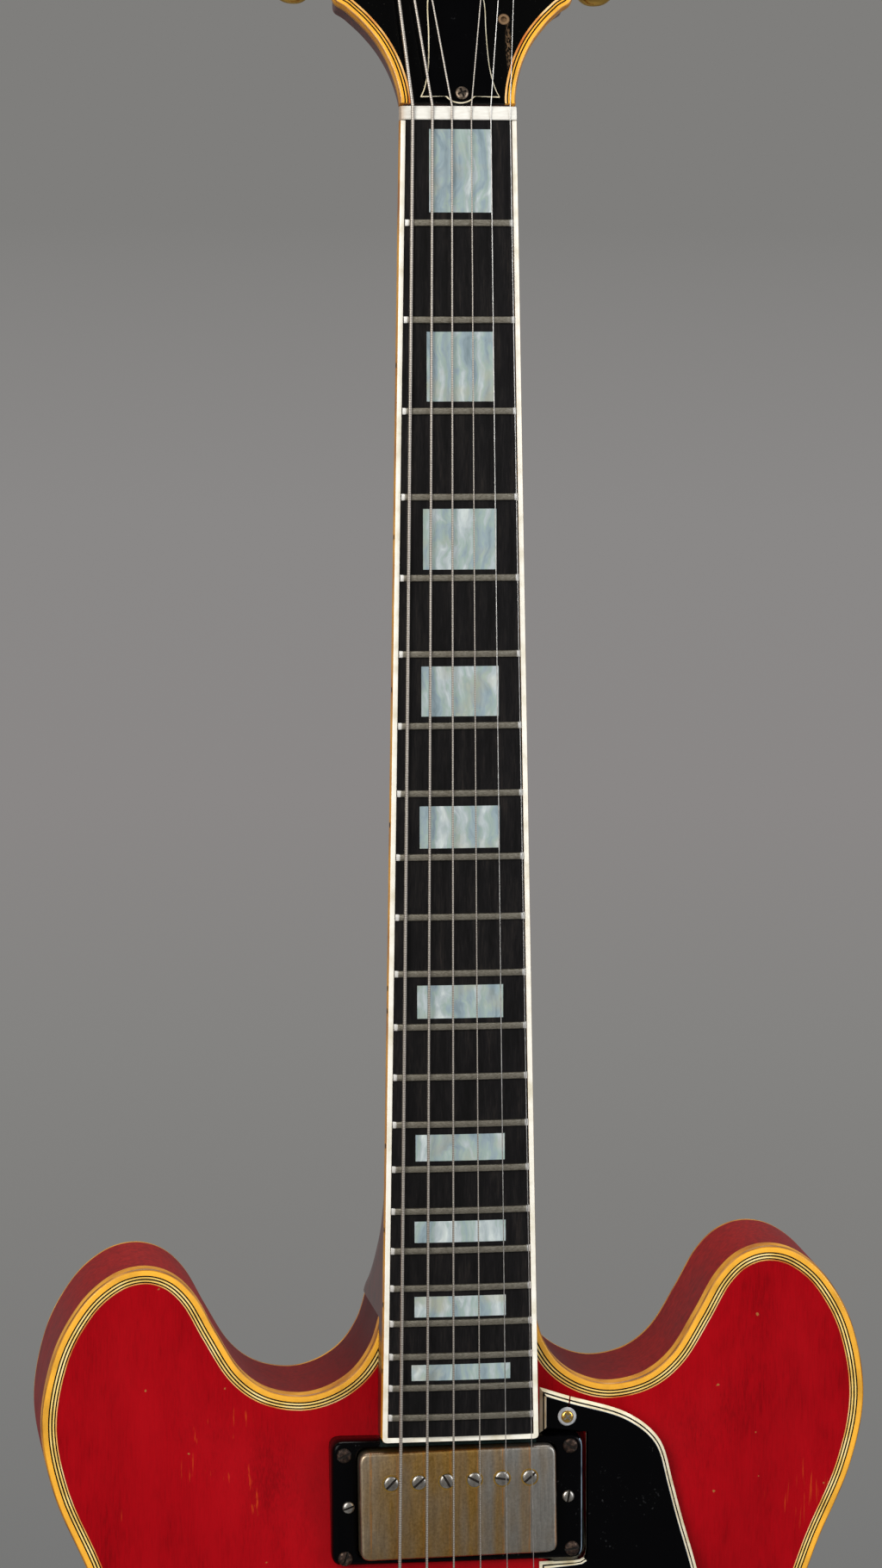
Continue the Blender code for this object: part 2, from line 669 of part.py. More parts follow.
def tuner(number, side, row, chrome, head_frame):
    """One machine head: a cast housing, the post with its wheel, and the key with its worm."""
    x = side * TUNER_X
    height = TUNER_FIRST + TUNER_STEP * row
    rear = VENEER + GAP + HEAD_THICK + GAP
    key_height = -0.0068
    key_depth = rear + 0.0056

    rows = []
    for depth, shrink in ((0.0, 0.0), (0.0085, 0.0), (0.0112, 0.0022)):
        half_x, low, high = 0.0085 - shrink, -0.0125 + shrink, 0.0078 - shrink
        rows.append([(x + sign_x * (half_x - cut_x), rear + depth, height + edge + sign_z * cut_z)
                     for sign_x, sign_z, edge, cut_x, cut_z in (
                         (-1, 1, low, 0.003, 0), (1, 1, low, 0.003, 0), (1, 1, low, 0, 0.003),
                         (1, -1, high, 0, 0.003), (1, -1, high, 0.003, 0), (-1, -1, high, 0.003, 0),
                         (-1, -1, high, 0, 0.003), (-1, 1, low, 0, 0.003))])
    housing = add_object(f"tuner_housing_{number}", loft(rows), chrome, parent=head_frame)
    room = box((x - 0.0062, rear - 0.002, height - 0.0102), (x + 0.0062, rear + 0.0092, height + 0.0055))
    combine(housing, add_object("housing_room", room, parent=head_frame))
    bore = cylinder(0.0026, x, x + side * 0.012, 8, "X", (key_depth, height + key_height))
    combine(housing, add_object("key_bore", bore, parent=head_frame))

    profile = ((0, -0.0095), (0.0030, -0.0088), (0.0030, -0.0068), (0.0024, -0.0055),
               (0.0024, -0.0042), (0.0030, -0.0030), (0.0030, rear + 0.0036), (0.0042, rear + 0.0036),
               (0.0042, rear + 0.0076), (0, rear + 0.0076))
    add_object(f"tuner_post_{number}", lathe(profile, 10), chrome, parent=head_frame,
               location=(x, 0, height))

    stations = ((-0.0055, 0.0022, 0.0022), (0.0205, 0.0022, 0.0022), (0.0215, 0.0035, 0.0032),
                (0.0230, 0.0080, 0.0040), (0.0275, 0.0100, 0.0048), (0.0330, 0.0088, 0.0044),
                (0.0362, 0.0045, 0.0026))
    rings = []
    for along, tall, thick in stations:
        rings.append([(side * along, thick * math.sin(math.tau * step / 10),
                       tall * math.cos(math.tau * step / 10)) for step in range(10)])
    add_object(f"tuner_key_{number}", loft(rings), chrome, parent=head_frame,
               location=(x, key_depth, height + key_height))


def string_route(index):
    """The points of one string's middle: vibrato shaft, saddle, nut and post."""
    radius = STRING_RADII[index]
    side = -1 if index < 3 else 1
    row = index if index < 3 else 5 - index
    saddle = neck_to_world(string_x(index, SCALE_LENGTH), string_depth(index, SCALE_LENGTH), SCALE_LENGTH)
    low = Vector((saddle.x, SHAFT_Y + SHAFT_RADIUS + radius + GAP, SHAFT_Z))
    nut_front = neck_to_world(string_x(index, 0), string_depth(index, 0), -0.0002)
    nut_back = neck_to_world(string_x(index, 0), string_depth(index, 0), -NUT_LENGTH)
    post = Vector((side * TUNER_X - side * (0.0024 + radius + GAP), -0.0048,
                   TUNER_FIRST + TUNER_STEP * row))
    turn = Matrix.Rotation(-HEAD_ANGLE, 4, "X")
    place = Matrix.Translation((0, HEAD_FACE_DROP, NUT_LENGTH))
    lean = Matrix.Rotation(-NECK_ANGLE, 4, "X")
    post = Matrix.Translation((0, -NUT_FRONT, 0)) @ lean @ place @ turn @ post
    return [low, low.lerp(saddle, 0.97), saddle + Vector((0, 0, 0.0006)), nut_front, nut_back, post]


def string(index, steel):
    data = bpy.data.curves.new(f"string_{index + 1}", "CURVE")
    data.dimensions = "3D"
    data.bevel_depth = STRING_RADII[index]
    data.bevel_resolution = 1
    data.use_fill_caps = True
    data.materials.append(steel)
    route = string_route(index)
    spline = data.splines.new("POLY")
    spline.points.add(len(route) - 1)
    for point, place in zip(spline.points, route):
        point.co = (*place, 1)
    item = bpy.data.objects.new(f"string_{index + 1}", data)
    bpy.context.collection.objects.link(item)


def rounded_rectangle(half_x, half_z, radius, centre, steps=3, sides=(1, 1)):
    """A rectangle with round corners, clockwise; sides is how many lengths its edges are cut into."""
    points = []
    for corner in range(4):
        sign_x, sign_z = ((1, 1), (1, -1), (-1, -1), (-1, 1))[corner]
        for step in range(steps + 1):
            angle = math.radians(90 * (1 - corner) - 90 * step / steps)
            points.append(Vector((centre[0] + sign_x * (half_x - radius) + radius * math.cos(angle),
                                  centre[1] + sign_z * (half_z - radius) + radius * math.sin(angle))))
    result = []
    for index, point in enumerate(points):
        after = points[(index + 1) % len(points)]
        pieces = 1
        if index % (steps + 1) == steps:
            pieces = sides[0] if abs(after.x - point.x) > abs(after.y - point.y) else sides[1]
        result += [point.lerp(after, piece / pieces) for piece in range(pieces)]
    return result


def drop_to_top(place, gap):
    """The point under a place, square to the strings, that clears the arched top by a gap."""
    sine, cosine = math.sin(NECK_ANGLE), math.cos(NECK_ANGLE)
    point = place.copy()
    for _ in range(4):
        travel = (top_face(point.x, point.z) - gap - point.y) / cosine
        point += Vector((0, cosine, -sine)) * travel
    return point


def pickup(name, distance, ring_front, cover_front, metal, black, neck_frame):
    """A covered pickup and the tapered ring that holds it to the arched top."""
    centre = (PICKUP_X, -distance)
    cover = prism(rounded_rectangle(*PICKUP_HALF, 0.0035, centre), cover_front, cover_front + 0.0165)
    cover = add_object(f"{name}_pickup", cover, metal, parent=neck_frame)
    soften(cover, 0.0012)

    outer = rounded_rectangle(*RING_HALF, 0.004, (0, -distance), 2, (6, 3))
    inner = rounded_rectangle(PICKUP_HALF[0] + 0.0005, PICKUP_HALF[1] + 0.0005, 0.0035, centre, 2, (6, 3))
    bm = bmesh.new()
    rows = []
    for line, front in ((outer, True), (outer, False), (inner, False), (inner, True)):
        row = []
        for x, z in line:
            place = neck_to_world(x, ring_front, -z)
            if not front:
                place = drop_to_top(place, SEAT_GAP)
            row.append(bm.verts.new(place))
        rows.append(row)
    count = len(outer)
    for index in range(4):
        near, far = rows[index], rows[(index + 1) % 4]
        for step in range(count):
            after = (step + 1) % count
            bm.faces.new((near[step], near[after], far[after], far[step]))
    add_object(f"{name}_pickup_ring", bm, black)


def pickguard(black, neck_frame):
    """The raised guard, cut to fit the pickup rings, with its post and side bracket."""
    outer = curve_points(((0.0297, -0.4450), (0.0409, -0.4487), (0.0564, -0.4531), (0.0651, -0.4574),
                          (0.0713, -0.4628), (0.0748, -0.4690), (0.0776, -0.4800), (0.0810, -0.4930),
                          (0.0863, -0.5114), (0.0905, -0.5300), (0.0925, -0.5500), (0.0900, -0.5750),
                          (0.0800, -0.5980), (0.0650, -0.6080), (0.0530, -0.6090)), 1)
    neck_low = PICKUP_S[0] + RING_HALF[1] + GUARD_CLEAR
    bridge_high = PICKUP_S[1] - RING_HALF[1] - GUARD_CLEAR
    ring_edge = RING_HALF[0] + GUARD_CLEAR
    inner = [(ring_edge, -0.6090), (ring_edge, -bridge_high), (0.0296, -bridge_high),
             (0.0296, -neck_low), (ring_edge, -neck_low), (ring_edge, -0.4614), (0.0297, -0.4614)]
    outline = [(point.x, point.y) for point in outer] + inner
    guard = add_object("pickguard", prism(outline, 0.0078, 0.0101), black, parent=neck_frame)
    foot = seat(*GUARD_POST, GUARD_POST_RADIUS) - SEAT_GAP
    post = cylinder(GUARD_POST_RADIUS, board_face(GUARD_POST[1]) + 0.0090, foot, 10, centre=GUARD_POST)
    combine(guard, add_object("guard_post", post), "UNION")


def bridge(metal, chrome):
    """A slotted bar with a saddle for each string, on two posts with thumbwheels."""
    middle = neck_to_world(BRIDGE_STRING_FIRST + 2.5 * BRIDGE_STRING_STEP, 0, SCALE_LENGTH)
    bar_front = middle.y - 0.0020
    bar_back = bar_front + 0.0072
    outline = rounded_rectangle(0.0485, 0.0062, 0.0058, (middle.x, middle.z), 3)
    bar = add_object("bridge", prism(outline, bar_front, bar_back), metal)
    saddles = bmesh.new()
    for index in range(6):
        top = neck_to_world(string_x(index, SCALE_LENGTH), string_depth(index, SCALE_LENGTH),
                            SCALE_LENGTH)
        peak = top.y + STRING_RADII[index] + 2 * GAP
        shift = 0.0018 - 0.0016 * (index % 3)
        wedge = [(-0.0042 + shift, bar_front + 0.0008), (0.0042 + shift, bar_front + 0.0008),
                 (0.0006, peak), (-0.0006, peak)]
        loft([[(top.x + side * 0.0034, y, top.z + z) for z, y in wedge] for side in (-1, 1)], saddles)
    combine(bar, add_object("saddle_set", saddles), "UNION")

    for side, name in ((-1, "bass"), (1, "treble")):
        x = BODY_X + side * BRIDGE_POST_X
        surface = top_face(x, middle.z)
        wheel_back = surface - 0.0012
        profile = ((0, bar_back + GAP), (0.0078, bar_back + GAP), (0.0078, bar_back + 0.0030),
                   (0.0024, bar_back + 0.0030), (0.0024, -0.0046), (0, -0.0046))
        assert bar_back + 0.0030 < wheel_back
        add_object(f"bridge_post_{name}", lathe(profile, 12), chrome, location=(x, 0, middle.z))


def knob(name, x, z, plastic):
    """A bell-shaped knob on its shaft, which passes through the top."""
    base = seat(x, z, KNOB_RADIUS) - SEAT_GAP
    profile = ((0, base - KNOB_TALL), (0.0088, base - KNOB_TALL), (0.0104, base - 0.0050),
               (KNOB_RADIUS, base - 0.0012), (KNOB_RADIUS, base), (POT_SHAFT, base),
               (POT_SHAFT, base + POT_REACH), (0, base + POT_REACH))
    add_object(name, lathe(profile, 14), plastic, location=(x, 0, z))


def selector_knob(plastic):
    """The pointer knob of the six-way tone selector."""
    x, z = SELECTOR
    base = seat(x, z, POINTER_RADIUS) - SEAT_GAP
    disc = cylinder(POINTER_RADIUS, base - 0.0050, base, 16)
    item = add_object("selector_knob", disc, plastic, location=(x, 0, z))
    fin = prism(((-0.0028, -0.0088), (-0.0042, 0.0030), (-0.0012, 0.0165), (0.0012, 0.0165),
                 (0.0042, 0.0030), (0.0028, -0.0088)), base - KNOB_TALL, base - 0.0020)
    combine(item, add_object("pointer_fin", fin, location=(x, 0, z)), "UNION")
    shaft = cylinder(POT_SHAFT, base - 0.0040, base + POT_REACH, 12)
    combine(item, add_object("selector_shaft", shaft, location=(x, 0, z)), "UNION")


def pickup_switch(metal, plastic):
    """The three-way switch: a threaded bush through the top, and its lever."""
    x, z = TOGGLE
    base = seat(x, z, SWITCH_RADIUS) - SEAT_GAP
    bush = ((0.0038, base - 0.0050), (0.0066, base - 0.0050), (SWITCH_RADIUS, base - 0.0020),
            (SWITCH_RADIUS, base), (0.0058, base), (0.0058, base + 0.0120), (0.0038, base + 0.0120))
    add_object("switch_bush", lathe(bush, 12), metal, location=(x, 0, z))
    lever = ((0, -0.0180), (0.0022, -0.0178), (0.0033, -0.0160), (0.0030, -0.0110), (0.0016, -0.0078),
             (0.0014, 0.0), (0, 0.0))
    add_object("pickup_switch", lathe(lever, 10), plastic, location=(x, base + 0.0010, z))


def output_jack(metal):
    x, z = JACK
    base = seat(x, z, JACK_RADIUS) - SEAT_GAP
    profile = ((0.0033, base - 0.0032), (0.0060, base - 0.0032), (JACK_RADIUS, base - 0.0012),
               (JACK_RADIUS, base), (0.0058, base), (0.0058, base + 0.0150), (0.0033, base + 0.0150))
    add_object("output_jack", lathe(profile, 12), metal, location=(x, 0, z))


def strap_button(name, place, direction, metal):
    """A turned button whose foot stands on the wood; the direction is 'back' or 'down'."""
    profile = ((0, 0), (0.0062, 0), (0.0062, 0.0012), (0.0038, 0.0040), (0.0040, 0.0062),
               (0.0076, 0.0092), (0.0076, 0.0112), (0.0070, 0.0118), (0, 0.0118))
    turn = (-math.pi / 2, 0, 0) if direction == "down" else (0, 0, 0)
    add_object(name, lathe(profile, 12), metal, location=place, rotation=turn)


def vibrato(metal, steel):
    """A cast frame on the top with two bearings, a turning shaft with its lever, spring and arm."""
    half = 0.0335
    surface = min(top_face(BODY_X + x, SHAFT_Z) for x in (-half, 0, half)) - GAP
    plate_front = surface - 0.0022
    plate = [(BODY_X - 0.0200, -0.8650), (BODY_X - 0.0140, -0.8000), (BODY_X - 0.0420, -0.7600),
             (BODY_X - 0.0420, -0.7240), (BODY_X - 0.0340, -0.7240), (BODY_X - 0.0320, -0.7560),
             (BODY_X, -0.7800), (BODY_X + 0.0320, -0.7560), (BODY_X + 0.0340, -0.7240),
             (BODY_X + 0.0620, -0.7160), (BODY_X + 0.0620, -0.7420), (BODY_X + 0.0420, -0.7600),
             (BODY_X + 0.0140, -0.8000), (BODY_X + 0.0200, -0.8650)]
    frame = add_object("tailpiece_frame", prism(plate, plate_front, surface), metal)
    for side in (-1, 1):
        x = BODY_X + side * 0.0380
        ear = box((x - 0.0038, SHAFT_Y - 0.0090, SHAFT_Z - 0.0090),
                  (x + 0.0038, plate_front + 0.0008, SHAFT_Z + 0.0090))
        combine(frame, add_object("bearing_ear", ear), "UNION")
    bores = cylinder(SHAFT_RADIUS + 0.0004, BODY_X - 0.046, BODY_X + 0.046, 16, "X", (SHAFT_Y, SHAFT_Z))
    combine(frame, add_object("bearing_bores", bores))
    hook = box((BODY_X - 0.0200, plate_front, -0.8845), (BODY_X + 0.0200, surface, -0.8600))
    combine(frame, add_object("end_plate", hook), "UNION")
    tail = box((BODY_X - 0.0200, plate_front + 0.0006, -0.8845), (BODY_X + 0.0200, 0.0020, -0.8820))
    combine(frame, add_object("end_hook", tail), "UNION")

    shaft = add_object("vibrato_shaft", cylinder(SHAFT_RADIUS, -0.0440, 0.0500, 16, "X"), steel,
                       location=(BODY_X, SHAFT_Y, SHAFT_Z))
    lug = box((0.0440, -0.0072, -0.0050), (0.0580, -0.0030, 0.0240))
    combine(shaft, add_object("lever_lug", lug, location=(BODY_X, SHAFT_Y, SHAFT_Z)), "UNION")

    arm_x, arm_z = 0.0510, 0.0170
    arm_y = SHAFT_Y - 0.0072 - GAP
    centre_line = curve_points(((0.0, 0.0), (0.010, 0.030), (0.024, 0.060), (0.030, 0.095),
                                (0.028, 0.130), (0.020, 0.165)), 2)
    rings = []
    for step, point in enumerate(centre_line):
        ahead = (centre_line[min(step + 1, len(centre_line) - 1)]
                 - centre_line[max(step - 1, 0)]).normalized()
        across = Vector((ahead.y, -ahead.x)) * 0.0055
        lift = -0.012 * min(step / 6, 1.0)
        rings.append([(point.x - across.x, lift, point.y - across.y),
                      (point.x + across.x, lift, point.y + across.y),
                      (point.x + across.x, lift - 0.0026, point.y + across.y),
                      (point.x - across.x, lift - 0.0026, point.y - across.y)])
    arm = add_object("vibrato_arm", loft(rings), steel,
                     location=(BODY_X + arm_x, arm_y, SHAFT_Z + arm_z))
    boss = cylinder(0.0068, -0.0045, 0.0, 14)
    combine(arm, add_object("arm_boss", boss, location=arm.location), "UNION")

    spring(steel, (BODY_X + arm_x, SHAFT_Z + 0.0130), plate_front - GAP, SHAFT_Y - 0.0030 + GAP)


def spring(steel, centre, low, high, turns=3.5, radius=0.0052, wire=0.0007):
    """The return spring between the frame and the shaft's lever, as one open coil."""
    data = bpy.data.curves.new("vibrato_spring", "CURVE")
    data.dimensions = "3D"
    data.bevel_depth = wire
    data.bevel_resolution = 1
    data.use_fill_caps = True
    data.materials.append(steel)
    steps = int(turns * 10)
    spline = data.splines.new("POLY")
    spline.points.add(steps)
    start, end = low - wire, high + wire
    for step, point in enumerate(spline.points):
        share = step / steps
        angle = math.tau * turns * share
        point.co = (centre[0] + radius * math.cos(angle), start + (end - start) * share,
                    centre[1] + radius * math.sin(angle), 1)
    pitch = abs(end - start) / turns
    print(f"spring: least gap between turns {1000 * (pitch - 2 * wire):.2f} mm")
    item = bpy.data.objects.new("vibrato_spring", data)
    bpy.context.collection.objects.link(item)


def main():
    clear_scene()
    cherry = finish("cherry lacquer on maple", "96000F", 0.25)
    cherry_side = finish("cherry lacquer on the sides", "7A1416", 0.3)
    maple = finish("bare maple", "C8A26C", 0.6)
    neck_wood = finish("cherry lacquer on the neck", "5E1A14", 0.3)
    aged = finish("aged cream binding", "D9A23C", 0.4)
    ivory = finish("ivory board binding", "E8E2CC", 0.4)
    ebony = finish("ebony", "1E1A1C", 0.5)
    bone = finish("bone", "DCD9CF", 0.45)
    black = finish("black gloss plastic", "0A0A0B", 0.15)
    chrome = finish("gold plate", "C9A04A", 0.25, 1.0)
    worn = finish("worn nickel", "9A8C72", 0.35, 1.0)
    steel = finish("steel", "B9BBBE", 0.3, 1.0)
    amber = finish("amber plastic", "1C1712", 0.2)

    neck_frame = add_empty("neck_frame", (0, -NUT_FRONT, 0), (-NECK_ANGLE, 0, 0))
    head_frame = add_empty("head_frame", (0, HEAD_FACE_DROP, NUT_LENGTH), (-HEAD_ANGLE, 0, 0),
                           neck_frame)

    sides = body_sides(cherry_side)
    tenon = body_plates(sides, cherry, cherry_side, maple, neck_frame)
    top_rim = binding("top_binding", TOP_BINDING_WIDE, BODY_FRONT, BODY_FRONT + TOP_BINDING_DEEP, aged)
    combine(top_rim, tenon)
    rear = BODY_FRONT + BODY_DEPTH
    binding("back_binding", BACK_BINDING_WIDE, rear - BACK_BINDING_DEEP, rear, aged)

    neck(neck_wood, head_frame, neck_frame)
    truss_rod(steel, neck_frame)
    fingerboard(ebony)
    fingerboard_binding(ivory, neck_frame)
    nut(bone, neck_frame)
    headstock_face(black, aged, head_frame)
    for index in range(6):
        side = -1 if index < 3 else 1
        tuner(index + 1, side, index if index < 3 else 5 - index, chrome, head_frame)
        string(index, steel)

    pickup("neck", PICKUP_S[0], 0.0060, 0.0012, worn, black, neck_frame)
    pickup("bridge", PICKUP_S[1], 0.0045, -0.0004, worn, black, neck_frame)
    pickguard(black, neck_frame)
    bridge(worn, chrome)
    for name, (x, z) in KNOBS.items():
        knob(name, x, z, amber)
    selector_knob(black)
    pickup_switch(chrome, ivory)
    output_jack(chrome)
    end = OUTLINE[len(BODY_HALF) - 1]
    strap_button("strap_button_end", (end.x, BODY_FRONT + 0.0330, end.y - GAP), "down", chrome)
    strap_button("strap_button_heel", (BODY_X, back_face(BODY_X, -0.4440) + GAP, -0.4360), "back",
                 chrome)
    vibrato(chrome, steel)


main()
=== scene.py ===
"""The looks of a semi-hollow electric guitar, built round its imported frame.

Metres, +Z up along the neck, -Y towards the listener and +X the treble side, as in the frame.
"""
import math
from functools import partial

import bmesh
import bpy
import numpy as np
from mathutils import Matrix, Vector


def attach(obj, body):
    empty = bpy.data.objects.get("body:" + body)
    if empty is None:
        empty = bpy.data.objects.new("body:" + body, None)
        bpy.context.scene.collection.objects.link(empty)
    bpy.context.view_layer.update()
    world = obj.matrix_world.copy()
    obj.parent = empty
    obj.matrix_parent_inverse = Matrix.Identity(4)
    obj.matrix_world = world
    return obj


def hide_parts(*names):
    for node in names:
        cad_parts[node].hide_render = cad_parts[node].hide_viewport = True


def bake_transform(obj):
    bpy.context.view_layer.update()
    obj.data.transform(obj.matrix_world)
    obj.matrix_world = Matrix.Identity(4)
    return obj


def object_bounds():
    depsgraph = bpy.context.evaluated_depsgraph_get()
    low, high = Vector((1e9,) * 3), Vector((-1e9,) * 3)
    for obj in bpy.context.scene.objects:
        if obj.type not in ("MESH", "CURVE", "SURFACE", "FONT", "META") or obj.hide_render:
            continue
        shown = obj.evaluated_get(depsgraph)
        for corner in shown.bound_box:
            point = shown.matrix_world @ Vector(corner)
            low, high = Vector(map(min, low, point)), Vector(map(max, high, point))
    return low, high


bl_info = {"name": "Semi-Hollow Guitar", "version": (1, 0, 0), "blender": (4, 5, 0),
    "location": "View3D > Sidebar > Guitar",
    "description": "Builds the visible pieces of a semi-hollow electric guitar round its CAD frame",
    "category": "Object"}

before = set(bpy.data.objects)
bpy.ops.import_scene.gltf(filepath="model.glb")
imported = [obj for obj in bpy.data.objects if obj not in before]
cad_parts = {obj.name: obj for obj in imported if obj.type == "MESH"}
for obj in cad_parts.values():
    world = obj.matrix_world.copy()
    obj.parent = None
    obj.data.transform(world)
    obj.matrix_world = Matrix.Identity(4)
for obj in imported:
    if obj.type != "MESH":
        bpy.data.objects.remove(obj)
CAD_BOX = [list(corner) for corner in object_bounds()]


def mm(*points):
    """Points written in millimetres, in metres."""
    return tuple(tuple(value / 1000 for value in point) for point in points)


# Neck and strings
SCALE_LENGTH = 0.62865
FRETS = 22
NECK_ANGLE = math.radians(3.5)
NUT_FRONT = 0.011
NUT_LENGTH = 0.0047
NUT_HALF = 0.0202
BOARD_END = 0.4613
BOARD_END_HALF = 0.0278
BOARD_THICK = 0.0053
BOARD_RADIUS = 0.3048
BOARD_BINDING = 0.0019
STRING_RADII = (0.00061, 0.00048, 0.00036, 0.00024, 0.00018, 0.00014)
NUT_STRINGS = (-0.0163, 0.0068)  # first string and step
BRIDGE_STRINGS = (-0.0238, 0.0102)
NUT_LIFT = 0.0011
BRIDGE_LIFT = 0.0041
GAP = 0.0003
FIT = GAP / 6  # between pieces that are glued together

# Headstock
HEAD_ANGLE = math.radians(17)
HEAD_DROP = 0.0015
HEAD_THICK = 0.013
VENEER = 0.0016
HEAD_PLIES = 0.0038  # width of the headstock's bound edge
OLD_HOLE = (0.0174, 0.032)  # where a screw once was
RUBBED = (0.0186, 0.0, 0.0215)  # and the middle of the worn patch beside it
TUNER_X = 0.025
TUNER_FIRST = 0.062
TUNER_STEP = 0.039
POST_HOLE = 0.0034
POST_NECK = 0.0024  # radius that the string winds on

# Body
BODY_X = 0.0015
BODY_FRONT = -0.0208
BODY_DEPTH = 0.044
BODY_BACK = BODY_FRONT + BODY_DEPTH
RIM_WALL = 0.0055
LINING = 0.011
TOP_THICK = 0.0055
BACK_THICK = 0.0042
BACK_EDGE = 0.0026
TOP_PLIES = 0.0053  # width of the top's bound edge
TOP_ARCH = 0.0125
BACK_ARCH = 0.01
ARCH_FLAT = 0.006
ARCH_RUN = 0.075
HEEL_FACE = -0.4187
TENON_END = -0.4602
SEAT_GAP = 0.0009

# Hardware, across and up the body; the pickups are along the neck from the nut
PICKUP_S = (0.4839, 0.587)
PICKUP_HALF = (0.035, 0.0192)
PICKUP_X = -0.0005
RING_HALF = (0.0448, 0.0222)
POLES = (-0.0244, 0.00986)  # first screw and step
KNOB_NAMES = ("volume_knob_neck", "tone_knob_neck", "volume_knob_bridge", "tone_knob_bridge")
KNOBS = mm((116, -722), (160, -744), (94, -768), (138, -790))
SELECTOR = (0.136, -0.664)
TOGGLE = (0.168, -0.7)
JACK = (0.108, -0.833)
SHAFT = (-0.0428, -0.738)  # depth and height of the vibrato's shaft
SHAFT_RADIUS = 0.0055
BRIDGE_POST = 0.037  # from the bridge's middle to each post
GUARD_DEPTH = 0.0078
GUARD_SCREWS = mm((39.2, -455.3), (70, -596))
KNOB_HOLE = 0.0037
SWITCH_HOLE = 0.0062

# Camera, as fitted to the photograph's fret lines, in metres and degrees
CAMERA_PLACE = (-0.25341801, -1.73214021, 0.01334038)
CAMERA_TURN = (82.00312823, -0.3974371, -8.1709536)
CAMERA_LENS = 114.94

# The right half of the body's outline, from the neck joint round to the end
BODY_HALF = mm((27.5, -419), (30.6, -429.5), (36.6, -438.6), (45.5, -444.6), (56, -446.8), (68, -444.1),
    (77.6, -436.4), (86, -422.6), (93.5, -409.2), (101.8, -401.4), (112, -398.8), (123, -402), (134, -412),
    (143.4, -430), (147.6, -455), (142.8, -481), (130.8, -510), (121.8, -540), (118.8, -570), (125, -603),
    (143.8, -636), (170, -664), (193, -697), (203.2, -740), (196, -787), (170, -828), (132, -858),
    (84, -875), (40, -880.6), (0, -881.6))
# The right half of the headstock's outline, from the nut up to a plain rounded crown
HEAD_HALF = mm((20.2, 1.2), (20.3, 4), (21.3, 9.5), (23.5, 16.5), (27.2, 23.8), (32.2, 30.4), (37.4, 35.6),
    (42, 40), (41.2, 52), (40.2, 78), (41.2, 108), (43.8, 138), (45, 157), (40, 168), (24, 175),
    (10, 177.6), (0, 178))
# Pearl blocks in millimetres: left, right, then how far along the board each begins and ends
BLOCKS = ((-10.4, 11.2, 3.2, 31.7), (-11.4, 11.9, 72.7, 96.7), (-12.8, 12.9, 133.8, 154.8),
    (-13.5, 13.6, 188.4, 205.8), (-14.2, 13.9, 237.1, 251.8), (-15.2, 15.1, 299.8, 311.4),
    (-15.9, 15.6, 352.3, 361.6), (-16.3, 15.9, 382.9, 390.4), (-16.4, 15.9, 409.5, 416.8),
    (-17.5, 17.5, 433.7, 439.3))

NECK = Matrix.Translation((0, -NUT_FRONT, 0)) @ Matrix.Rotation(-NECK_ANGLE, 4, "X")
HEAD = NECK @ Matrix.Translation((0, HEAD_DROP, NUT_LENGTH)) @ Matrix.Rotation(-HEAD_ANGLE, 4, "X")


# ---- colours and node trees


def linear(code):
    """An sRGB hex colour as linear RGBA."""
    channels = [int(code[place:place + 2], 16) / 255 for place in (0, 2, 4)]
    return (*[c / 12.92 if c <= 0.04045 else ((c + 0.055) / 1.055) ** 2.4 for c in channels], 1.0)


def set_inputs(tree, node, inputs):
    """Each input is a value, a hex colour, or another node's output to link."""
    for name, value in inputs.items():
        if isinstance(value, bpy.types.NodeSocket):
            tree.links.new(value, node.inputs[name])
        else:
            node.inputs[name].default_value = linear(value) if isinstance(value, str) else value


def add_node(tree, kind, inputs, stops=(), take=None, **settings):
    """A node with its settings and links, given as the output that the next node takes."""
    node = tree.nodes.new("ShaderNode" + kind)
    for name, value in settings.items():
        setattr(node, name, value)
    set_inputs(tree, node, inputs)
    if stops:
        ramp = node.color_ramp
        while len(ramp.elements) < len(stops):
            ramp.elements.new(1.0)
        for element, (place, colour) in zip(ramp.elements, stops):
            element.position = place
            if isinstance(colour, float):
                colour = (colour, colour, colour, 1.0)
            element.color = linear(colour) if isinstance(colour, str) else colour
    if take is None:
        take = 2 if settings.get("data_type") == "RGBA" else 0
    return node.outputs[take]


def finish(paint):
    """The finish whose surface a function gives, made on first use and named after it."""
    material = bpy.data.materials.get(paint.__name__)
    if material is None:
        material = bpy.data.materials.new(paint.__name__)
        material.use_nodes = True
        tree = material.node_tree
        add = partial(add_node, tree)
        surface = paint(add, add("TexCoord", {}, take="Object"))
        set_inputs(tree, tree.nodes["Principled BSDF"], surface)
    return material


def fine(millimetres):
    """The scale of a texture whose spots are about so many millimetres across."""
    return 1000.0 / millimetres


def spots(add, place, millimetres, detail=2.0, upright=1.0, roughness=0.5, shift=(0, 0, 0)):
    """Soft spots so many millimetres across, drawn out upwards as upright falls below 1."""
    drawn = add("Mapping", {"Vector": place, "Scale": (1, 1, upright), "Location": shift})
    return add("TexNoise", {"Vector": drawn, "Scale": fine(millimetres), "Detail": detail,
        "Roughness": roughness})


def mottled(add, place, millimetres, detail, tones, surface, upright=1.0):
    """A surface whose tones lie in spots."""
    cloud = spots(add, place, millimetres, detail, upright)
    return {"Base Color": add("ValToRGB", {0: cloud}, tones), **surface}


def shade(colour, share):
    """A chosen colour made lighter or darker, as linear RGBA."""
    return (*[min(channel * share, 1.0) for channel in colour], 1.0)


def shades(name, *stops):
    """Tones of one of the colours that a user would change."""
    colour = getattr(bpy.context.scene.guitar_colours, name)
    return [(place, shade(colour, share)) for place, share in stops]


